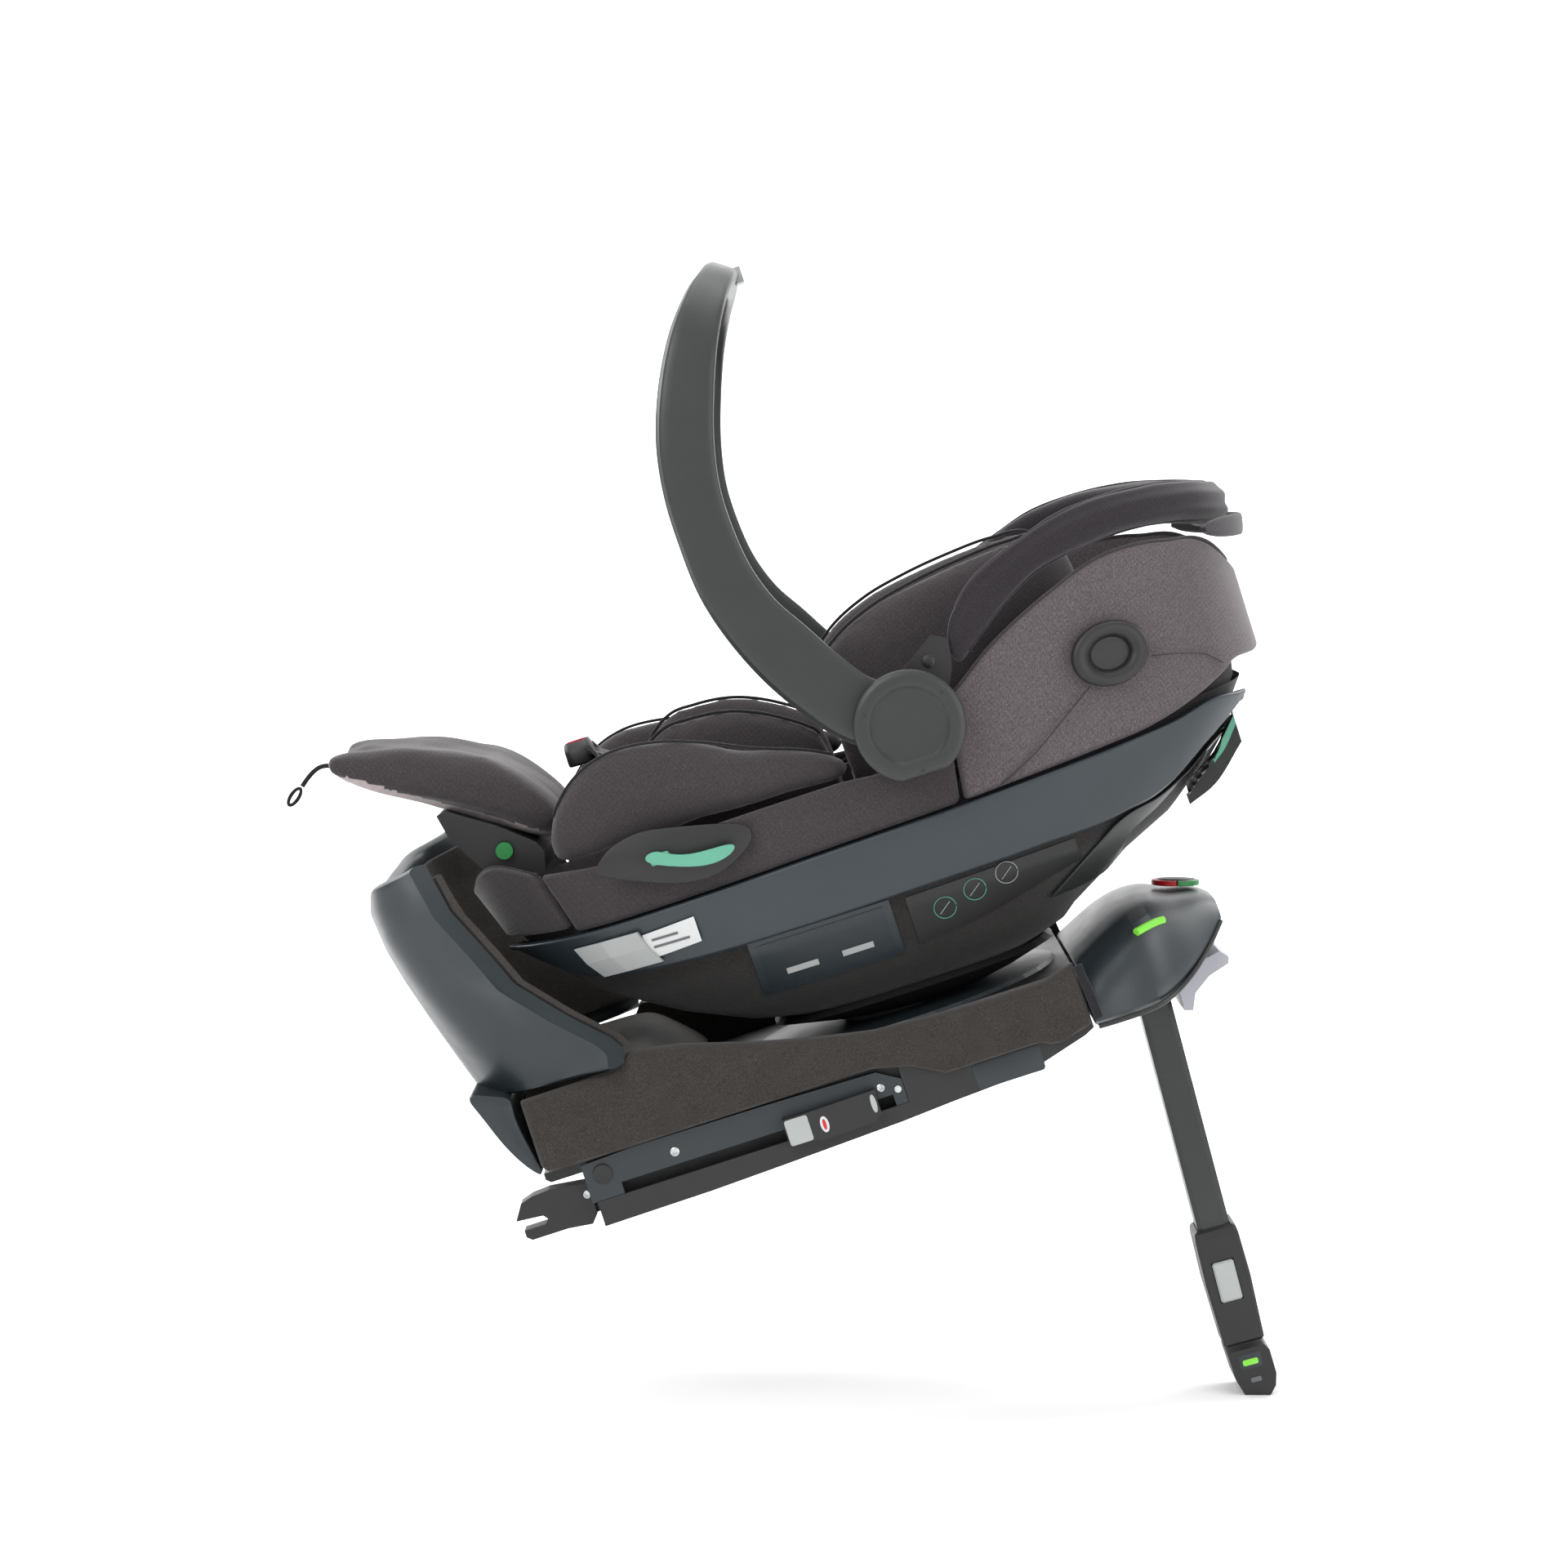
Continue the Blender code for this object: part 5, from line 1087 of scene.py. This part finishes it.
def bar_plan(level, outset):
    """Front, turn and edge are tables of height; six of their mixtures make half the plan, read smoothly."""
    front, turn, edge = (line(table, level)[:, None] for table in (BAR_FRONT, BAR_TURN, BAR_EDGE))
    x = np.concatenate([front, front + 1, front + .10 * (turn - front) + 3, front + .40 * (turn - front),
        turn, edge], 1)
    share = np.array([0, .32, .60, .80, .93, 1.0])
    at = np.concatenate([[0], np.cumsum(np.hypot(np.diff(share) * 190, np.diff(x[len(x) // 2])))])
    fine = np.linspace(0, at[-1], 50)
    xs = np.stack([read(np.stack([at, row], 1), fine) for row in x])
    share = read(np.stack([at, share], 1), fine)
    fall = 20.0 * np.clip((level - 105) / 198, 0, None)[:, None]
    z = level[:, None] - fall * (1 - share**2)
    right = np.stack(np.broadcast_arrays(xs + outset, -(190 - outset) * share, z), -1)
    return np.concatenate([right[:, :0:-1] * (1, -1, 1), right], 1)


def bar_wall(name, low, high, outer, inner, look, node):
    """Up the outside, over a round rim and down the inside: rows of the plan at two outsets."""
    rise = np.linspace(low, high, 48)
    middle, half = (outer + inner) / 2, (inner - outer) / 2
    turn = np.linspace(0, math.pi, 9)[1:-1]
    over = [bar_plan(np.array([high]), middle - half * math.cos(a)) + (0, 0,
        half * 0.6 * math.sin(a)) for a in turn]
    under = [bar_plan(np.array([low]), middle + half * math.cos(a)) - (0, 0,
        half * 0.4 * math.sin(a)) for a in turn]
    rows = np.concatenate([bar_plan(rise, outer)] + over + [bar_plan(rise[::-1], inner)] + under)
    grid = np.swapaxes(rows, 0, 1)
    return surface(name, grid, look, "base", around=True, caps=True, sharp=45, stands_for=[node])


bar_wall("rebound_shield", 105, 299, 0.0, 13.0, "blue_black_plastic", "rebound_bar")
bar_wall("rebound_lining", 116, 289, 15.2, 20.0, "felt", "rebound_bar_liner")
foot_outline = closed_spline([(12, 37), (2, 50), (-8, 70), (-14, 88), (-20, 104), (-23, 112), (-18, 116),
    (-12, 113),
                              (0, 108), (10, 104), (10, 95), (8.5, 86), (12, 62), (16.5, 42), (15, 37)],
                              60)  # fmt: skip
span = np.array([-165, -164.4, -162.5, 0, 162.5, 164.4, 165.0])[:, None]
shrink = np.array([0.9, 0.97, 1, 1, 1, 0.97, 0.9])[:, None]
middle = foot_outline.mean(axis=0)
foot_grid = np.stack(np.broadcast_arrays(middle[0] + (foot_outline[:, 0] - middle[0]) * shrink, span,
                                         middle[1] + (foot_outline[:, 1] - middle[1]) * shrink),
                                         -1)  # fmt: skip
surface("rebound_foot", foot_grid, "blue_black_plastic", "base", True, caps=True, sharp=45)

# %% [markdown]
# Felt panels dress both sides of the base. They lean over the top edge, so their section is a
# hooked strip. Its control points come from two tables of height and a spline rounds them.

# %% The felt sides
FELT_LOW = [(15, 46), (22, 38), (60, 37.5), (290, 37.5), (320, 30), (345, 16), (424, 16), (432, 12),
    (440, 11), (467, 18)]
FELT_HIGH = [(15, 98), (88, 99), (103, 100), (109, 110), (114, 109), (150, 103), (200, 88), (250, 75),
    (300, 65.5), (350, 62),
             (400, 61), (440, 61), (467, 68)]  # fmt: skip
for label, side in SIDES:
    x = np.concatenate([[17.0, 17.3, 18.2, 20], np.linspace(22, 464, 150), [465.6, 466.6, 467]])
    low, high = line(FELT_LOW, x)[:, None], line(FELT_HIGH, x)[:, None]
    tuck = np.minimum(np.minimum(x - x[0] + 0.3, x[-1] - x + 0.3) / 3, 1)[:, None] ** 0.5
    one = np.ones_like(low)
    y = np.concatenate([165.6 * one, 170.5 * one, 173.2 * one, 173.4 * one, 173.4 * one, 172.4 * one,
        168.5 * one, 152 * one,
                        141 * one, 141.5 * one, 165.6 * one], 1)  # fmt: skip
    z = np.concatenate([low + 1.5, low, low + 2, low + 6, high - 8, high - 2, high, high - 0.8, 60 * one,
        57.6 * one, 57.6 * one], 1)
    y = 165.6 + (y - 165.6) * np.where(y > 165.6, 0.25 + 0.75 * tuck, 1)
    fleece = 0.35 * np.sin(x / 7.3)[:, None] * np.sin(z / 5.1) * (y > 172)
    grid = np.stack(np.broadcast_arrays(x[:, None], side * (y + fleece), z), -1)
    surface(f"felt_side_{label}", grid, "felt", "base", True, caps=True, sharp=48,
        stands_for=[f"base_felt_{label}"])
    strip = np.array([(470, 66), (471.5, 52), (473, 36), (474, 21)])
    points = np.stack([strip[:, 0], side * 172.4 + 0 * strip[:, 0], strip[:, 1]], 1)
    cordage(f"felt_edge_{label}", points, 1.3, "webbing", "base", 40, (0, 1, 0), oval(16, 3), wide=3.6)
deck = closed_spline([(19, 58), (19, 80), (19, 101), (24, 104), (40, 104), (100, 104), (118, 101),
    (130, 92), (158, 64), (158, 58),
                      (90, 58)], 60)  # fmt: skip
span = np.array([-139, -138, -135, 0, 135, 138, 139.0])[:, None]
deck_grid = np.stack(np.broadcast_arrays(deck[:, 0], span, deck[:, 1]), -1)
surface("foot_deck", deck_grid, "felt", "base", True, caps=True, sharp=45)
print("felt done")

# %% [markdown]
# The nose is the cap over the load leg's hinge. It closes in towards the end like the bow of a
# boat, and it is cut open underneath for the leg and its release handle. Rings from tables give
# the cap, and Booleans cut the two pockets, exactly where the CAD has them.

# %% The nose
NOSE_HALF = [(470, 172), (490, 168), (510, 158), (527, 143), (543, 122), (563, 98), (580, 74), (598, 48)]
NOSE_LOW = [(470, 13), (490, 12), (510, 11), (527, 11), (543, 14), (563, 23), (580, 34), (598, 49)]
NOSE_HIGH = [(470, 62), (490, 73), (510, 82), (527, 87), (543, 88), (563, 82), (588, 74), (598, 67)]
x = np.concatenate([[470.0, 470.5, 471.5], np.linspace(474, 592, 60), [595, 597, 598]])
half_wide, low, high = (read(table, x)[:, None] for table in (NOSE_HALF, NOSE_LOW, NOSE_HIGH))
tuck = np.minimum(np.minimum(x - 469.4, 598.6 - x) / np.where(x < 500, 3.0, 6.0), 1)[:, None] ** 0.5
tall = high - low
shares = [(.80, 0), (.93, .01), (.99, .10), (1.0, .28), (.985, .50), (.93, .72), (.82, .88), (.60, .965),
    (.30, 1), (0, 1.0)]
right = np.stack([np.concatenate([half_wide * s for s, _ in shares], 1),
                  np.concatenate([low + tall * t for _, t in shares], 1)], -1)  # fmt: skip
section = np.concatenate([right, right[:, -2::-1] * (-1, 1)], 1)
middle = ((low + high) / 2)[:, :, None]
section = np.stack([section[..., 0] * (0.965 + 0.035 * tuck),
    middle[..., 0] + (section[..., 1] - middle[..., 0]) * (0.9 + 0.1 * tuck)], -1)
grid = np.concatenate([np.broadcast_to(x[:, None, None], section[..., :1].shape), section], -1)
nose = surface("nose_cap", grid, "blue_black_plastic", "base", True, caps=True, sharp=35,
    stands_for=["front_nose"])


def hollow(piece, outline, y0, y1):
    """Cuts a prism out of a piece: the outline in X and Z, swept from y0 to y1, by an exact Boolean."""
    points = [(x, y, z) for y in (y0, y1) for x, z in outline]
    n = len(outline)
    faces = [list(range(n)), list(range(2 * n - 1, n - 1, -1))]
    faces += [[i, (i + 1) % n, n + (i + 1) % n, n + i][::-1] for i in range(n)]
    mesh = bpy.data.meshes.new("cutter")
    mesh.from_pydata(place(points), [], faces)
    work = bmesh.new()
    work.from_mesh(mesh)
    bmesh.ops.recalc_face_normals(work, faces=work.faces)
    work.to_mesh(mesh)
    work.free()
    cutter = bpy.data.objects.new("cutter", mesh)
    bpy.context.scene.collection.objects.link(cutter)
    cut = piece.modifiers.new("pocket", "BOOLEAN")
    cut.object, cut.operation, cut.solver = cutter, "DIFFERENCE", "EXACT"
    bpy.context.view_layer.update()
    result = bpy.data.meshes.new_from_object(piece.evaluated_get(bpy.context.evaluated_depsgraph_get()))
    piece.modifiers.clear()
    piece.data = result
    bpy.data.objects.remove(cutter)


hollow(nose, [(460, -40), (549.5, -40), (549.5, 52), (460, 52)], -35, 35)
hollow(nose, [(540, -30), (612, -30), (612, 44), (572, 38), (556, 34), (540, 27)], -51, 51)
nose.data.set_sharp_from_angle(angle=math.radians(35))

rim_x = np.linspace(472, 596, 90)
for label, side in SIDES:
    rim = np.stack([rim_x, side * (read(NOSE_HALF, rim_x) * 0.985 - 0.5), read(NOSE_LOW, rim_x) + 1.0], 1)
    surface(f"nose_rim_{label}", sweep(rim, oval(12), 2.2, 2.2, (0, 0, 1)), "black_plastic", "base", True,
        caps=True, sharp=80)
    lens_x = np.linspace(524, 549, 30)
    lens_y = side * (read(NOSE_HALF, lens_x) * 0.90)
    lens_z = read(NOSE_LOW, lens_x) + (read(NOSE_HIGH, lens_x) - read(NOSE_LOW,
        lens_x)) * np.linspace(0.80, 0.77, 30)
    surface(f"nose_lens_{label}", sweep(np.stack([lens_x, lens_y, lens_z], 1), oval(16), 3.0, 3.4,
        (0, 0, 1)), "lime_lens", "base",
            True, caps=True, sharp=80)  # fmt: skip
print("nose done")

# %% [markdown]
# A round window on the nose shows whether the leg stands firmly. It lies level once the base is
# pitched, so its rings are turned the other way by the same angle. Its collar is red on one half
# and green on the other, as such a gauge has it.

# %% The status window
DIAL = (572.0, 80.5)


def dial_ring(profile, first, last, count):
    """Rings (radius, height) swept from one angle to another, turned 18 degrees so that they lie level."""
    a = np.radians(np.linspace(first, last, count))
    r, h = np.array(profile, float).T[:, :, None]
    u, v, w = r * np.cos(a), r * np.sin(a), h + 0 * a
    c, s = math.cos(PITCH), math.sin(PITCH)
    return np.stack([DIAL[0] + u * c + w * s, v, DIAL[1] - u * s + w * c], -1)


collar = [(19.7, 2.4), (20, 5.0), (19.5, 6.4), (18.2, 7.0), (16.2, 6.8), (15.6, 5.8), (15.6, 2.4)]
surface("dial_red", np.swapaxes(dial_ring(collar, 92, 268, 40), 0, 1), "red_plastic", "base", True,
    caps=True, sharp=40)
surface("dial_green", np.swapaxes(dial_ring(collar, -88, 88, 40), 0, 1), "green_plastic", "base", True,
    caps=True, sharp=40)
window = [(15.2, 2.4), (15.2, 6.2), (14, 7.3), (9, 8.0), (3, 8.3), (0.4, 8.3)]
surface("dial_window", dial_ring(window, 0, 355, 72), "black_plastic", "base", True, caps=True, sharp=40,
    stands_for=["status_dial"])
print("status window done")

# %% [markdown]
# Small trim finishes the sides: the belt hooks in teal on a dark housing, a ring for the belt,
# screws, caps and blank plates where such a seat carries its labels. The plates stay blank.


# %% Trim
def plate(name, outline, y0, y1, side, look, body, bevel=0.6, round_corners=True):
    """A prism with bevelled edges: an outline in X and Z between two distances from the middle."""
    flat = np.array(closed_spline(outline, 4 * len(outline)) if round_corners else outline, float)
    middle = flat.mean(axis=0)
    spread = np.abs(flat - middle).max(axis=0)
    rows = []
    for y, inset in ((y0, 0.0), (y1 - bevel, 0.0), (y1 - bevel * 0.3, bevel * 0.3), (y1, bevel)):
        ring = middle + (flat - middle) * (1 - inset / np.maximum(spread, 1))
        rows.append(np.stack([ring[:, 0], side * y + 0 * ring[:, 0], ring[:, 1]], 1))
    return surface(name, np.array(rows), look, body, True, caps=True, sharp=30)


def rectangle(x0, x1, z0, z1, r=2.0, count=6):
    """A rectangle's outline with rounded corners, as quarter circles."""
    a = np.linspace(0, math.pi / 2, count)
    corners = ((x1 - r, z1 - r, 0), (x0 + r, z1 - r, 1), (x0 + r, z0 + r, 2), (x1 - r, z0 + r, 3))
    return [(cx + r * math.cos(t + k * math.pi / 2), cz + r * math.sin(t + k * math.pi / 2)) for cx, cz,
        k in corners for t in a]


def wall_patch(name, x_range, z_low, z_high, outset, look, body="carrier", side=-1, thick=0.8, rows=24):
    """A thin blank sheet that lies on the carrier's wall: a grid of x and z, put out at wall_y."""
    x = np.linspace(*x_range, rows)[:, None]
    low, high = (read(table, x) if isinstance(table, list) else table + 0 * x for table in (z_low, z_high))
    z = low + (high - low) * np.linspace(0, 1, 12)[None, :]
    x = x + 0 * z
    outer = np.stack([x, side * wall_y(x, z, outset + thick), z], -1)
    inner = np.stack([x, side * wall_y(x, z, outset), z], -1)
    return surface(name, np.concatenate([outer, inner[:, ::-1]], 1), look, body, True, caps=True, sharp=40)


HOOK_BED = [(130, 252), (132, 257), (145, 268), (160, 273), (178, 275), (200, 270), (240, 261),
    (258, 254), (259, 246),
            (256, 239), (235, 226), (215, 222), (190, 226), (160, 238)]  # fmt: skip
HOOK_TONGUE = [(172, 252), (174, 256), (180, 257), (185, 256), (198, 248), (215, 245), (238, 245),
    (243, 243), (243, 240),
               (238, 236), (225, 233), (210, 235), (195, 240), (178, 247)]  # fmt: skip
GROMMET = (570.0, 293.0)
for label, side in SIDES:
    bed = plate(f"hook_housing_{label}", HOOK_BED, 184.6, 188.6, side, "black_plastic", "carrier", 1.2)
    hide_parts(f"belt_guide_{label}")
    plate(f"hook_root_{label}", rectangle(176, 192, 246, 254), 186.6, 196.6, side, "teal_plastic",
        "carrier", 0.5, False)
    plate(f"hook_teal_{label}", HOOK_TONGUE, 194.6, 198.6, side, "teal_plastic", "carrier", 1.0)
    a = np.linspace(0, 2 * math.pi, 72, endpoint=False)
    rows = []
    for radius, outset in ((25.3, 12.6), (25.6, 16), (25.2, 19.5), (23.6, 21.8), (21.4, 22.6), (18, 22.2),
        (15.4, 20.6),
                           (13.8, 18.4), (12.8, 16), (12.4, 14.6), (6, 14.4)):  # fmt: skip
        gx, gz = GROMMET[0] + 1.25 * radius * np.cos(a), GROMMET[1] + radius * np.sin(a)
        rows.append(np.stack([gx, side * wall_y(gx, gz, outset), gz], 1))
    surface(f"belt_ring_{label}", np.array(rows), "black_plastic", "carrier", True, caps=True, sharp=40,
            stands_for=[f"grommet_{label}"])  # fmt: skip
    turned(f"cover_cap_{label}", (61, 23),
        [(8, 164.8), (8, 166.0), (7.2, 166.7), (6.0, 166.4), (2, 166.2)], side,
           "black_plastic", "base", 36)  # fmt: skip
    for k, (sx, sz, r) in enumerate(((121, 22, 3.6), (292, 20, 3.2))):
        turned(f"cover_screw_{label}_{k}", (sx, sz),
            [(r, 164.8), (r, 165.6), (r * .8, 166.0), (r * .3, 165.5)], side, "steel", "base", 24)
    turned(f"cover_pin_{label}", (305, 15), [(2.8, 164.8), (2.8, 166.2), (2.0, 166.8), (.5, 167)], side,
        "white_label", "base", 24)
    turned(f"jaw_screw_{label}", (43, 9), [(3.2, 151.8), (3.2, 152.8), (2.4, 153.3), (.8, 152.9)], side,
        "steel",
           f"anchor_arm_{label}", 24)  # fmt: skip
    plate(f"casing_plate_{label}", rectangle(366, 422, -6, 15, 3), 164.9, 165.7, side,
        "blue_black_plastic", "base", 0.3, False)
    grip = f"anchor_grip_{label}"
    plate(f"grip_end_{label}", rectangle(211, 230, -1, 20, 2), 177.4, 178.6, side, "light_grey_plastic",
        grip, 0.5, False)
    plate(f"grip_tail_{label}", [(281, 3), (286, 4), (286, 20), (281, 20)], 177.4, 178.6, side,
        "light_grey_plastic", grip, 0.5)
    turned(f"grip_window_{label}", (241.5, 8), [(6.6, 177.2), (6.6, 178.0), (6.1, 178.4), (2, 178.6)],
        side, "white_label", grip,
           40, lambda a: 1 / np.hypot(np.cos(a) * 1.9, np.sin(a)))  # fmt: skip
    turned(f"grip_flag_{label}", (241.5, 8), [(4.6, 178.3), (4.6, 178.7), (4.2, 178.9), (1, 179.0)], side,
        "red_plastic", grip,
           32, lambda a: 1 / np.hypot(np.cos(a) * 3.2, np.sin(a)))  # fmt: skip
    wall_patch(f"shell_plate_{label}", (226, 344), 113, 160, 0.4, "rail_plastic", side=side)
    wall_patch(f"shell_window_{label}", (232, 338), 118, 156, 1.3, "blue_black_plastic", side=side,
        thick=0.4)
    for k, (x0, x1) in enumerate(((249.5, 276), (296, 322))):
        wall_patch(f"shell_bar_{label}_{k}", (x0, x1), 126, 131, 1.9, "light_grey_plastic", side=side,
            thick=0.4, rows=8)
    wall_patch(f"shell_sheet_{label}", (357, 500), [(355, 116), (400, 120), (500, 141)],
        [(355, 157), (500, 160)], 0.4,
               "black_plastic", side=side, thick=0.5)  # fmt: skip
    wall_patch(f"rail_plate_{label}", (150, 194), [(150, 173), (195, 176)], [(150, 194), (195, 197)],
        18.4, "white_label", side=side,
               thick=0.6)  # fmt: skip
    wall_patch(f"rail_lines_{label}", (156, 186), 181, 183, 19.1, "grey_print", side=side, thick=0.3)
    wall_patch(f"rail_lines2_{label}", (156, 178), 187, 189, 19.1, "grey_print", side=side, thick=0.3)
def on_leg(outline):
    """Points given along the load leg, turned by its lean of 3 degrees about the hinge at (527, 16)."""
    c, s = math.cos(math.radians(3)), math.sin(math.radians(3))
    return [(527 + x * c + z * s, 16 - x * s + z * c) for x, z in outline]


for label, side in SIDES:
    plate(f"foot_window_{label}", on_leg(rectangle(-9, 10, -334, -321, 2)), 28.05, 28.5, side,
        "blue_black_plastic", "foot", 0.2, False)
    plate(f"foot_gauge_{label}", on_leg(rectangle(-6, 7, -331, -326, 1.5)), 28.4, 28.9, side, "lime_lens",
        "foot", 0.2, False)
    plate(f"foot_mark_{label}", on_leg(rectangle(-3, 6, -346, -342, 1)), 28.05, 28.4, side, "grey_print",
        "foot", 0.1, False)
for label, side in SIDES:
    wall_patch(f"rear_guide_{label}", (600, 655), [(600, 150), (625, 160), (655, 186)],
        [(600, 172), (625, 184), (655, 212)], 8.4,
               "black_plastic", side=side, thick=2.2)  # fmt: skip
    wall_patch(f"rear_lever_{label}", (628, 654), [(628, 177), (640, 186), (654, 202)],
        [(628, 184), (640, 194), (654, 209)], 10.8,
               "teal_plastic", side=side, thick=1.6)  # fmt: skip
    for k, (cx, cz) in enumerate(((385, 139), (412, 146), (440, 151))):
        a = np.linspace(0, 2 * math.pi, 40, endpoint=False)
        px, pz = cx + 9 * np.cos(a), cz + 9 * np.sin(a)
        ringlet = np.stack([px, side * wall_y(px, pz, 1.1), pz], 1)
        surface(f"sheet_drawing_{label}_{k}", sweep(ringlet, oval(6), 0.35, 0.7),
            "teal_plastic" if k < 2 else "light_grey_plastic",
                "carrier", True, caps=True, sharp=80)  # fmt: skip
        px, pz = cx + np.linspace(-5, 5, 12), cz + np.linspace(-4, 4, 12)
        stroke = np.stack([px, side * wall_y(px, pz, 1.1), pz], 1)
        surface(f"sheet_stroke_{label}_{k}", sweep(stroke, oval(6), 0.35, 0.8), "light_grey_plastic",
            "carrier", True, caps=True, sharp=80)
print("trim done")

# %% [markdown]
# The hard CAD nodes whose shapes are right stay. Each takes the finish that its slot names, in
# place of its plain CAD colour.

# %% Finishes for the CAD nodes that stay
for name, node in NODES.items():
    for slot_ in node.material_slots:
        key = slot_.material.name.split(".")[0] if slot_.material else "black_plastic"
        slot_.material = LOOKS.get(key, LOOKS["black_plastic"])
print("kept nodes finished")

# %% [markdown]
# The CAD's box, measured when the frame was loaded, is printed.

# %% Print the CAD box
print("CAD box:", CAD_BOX)
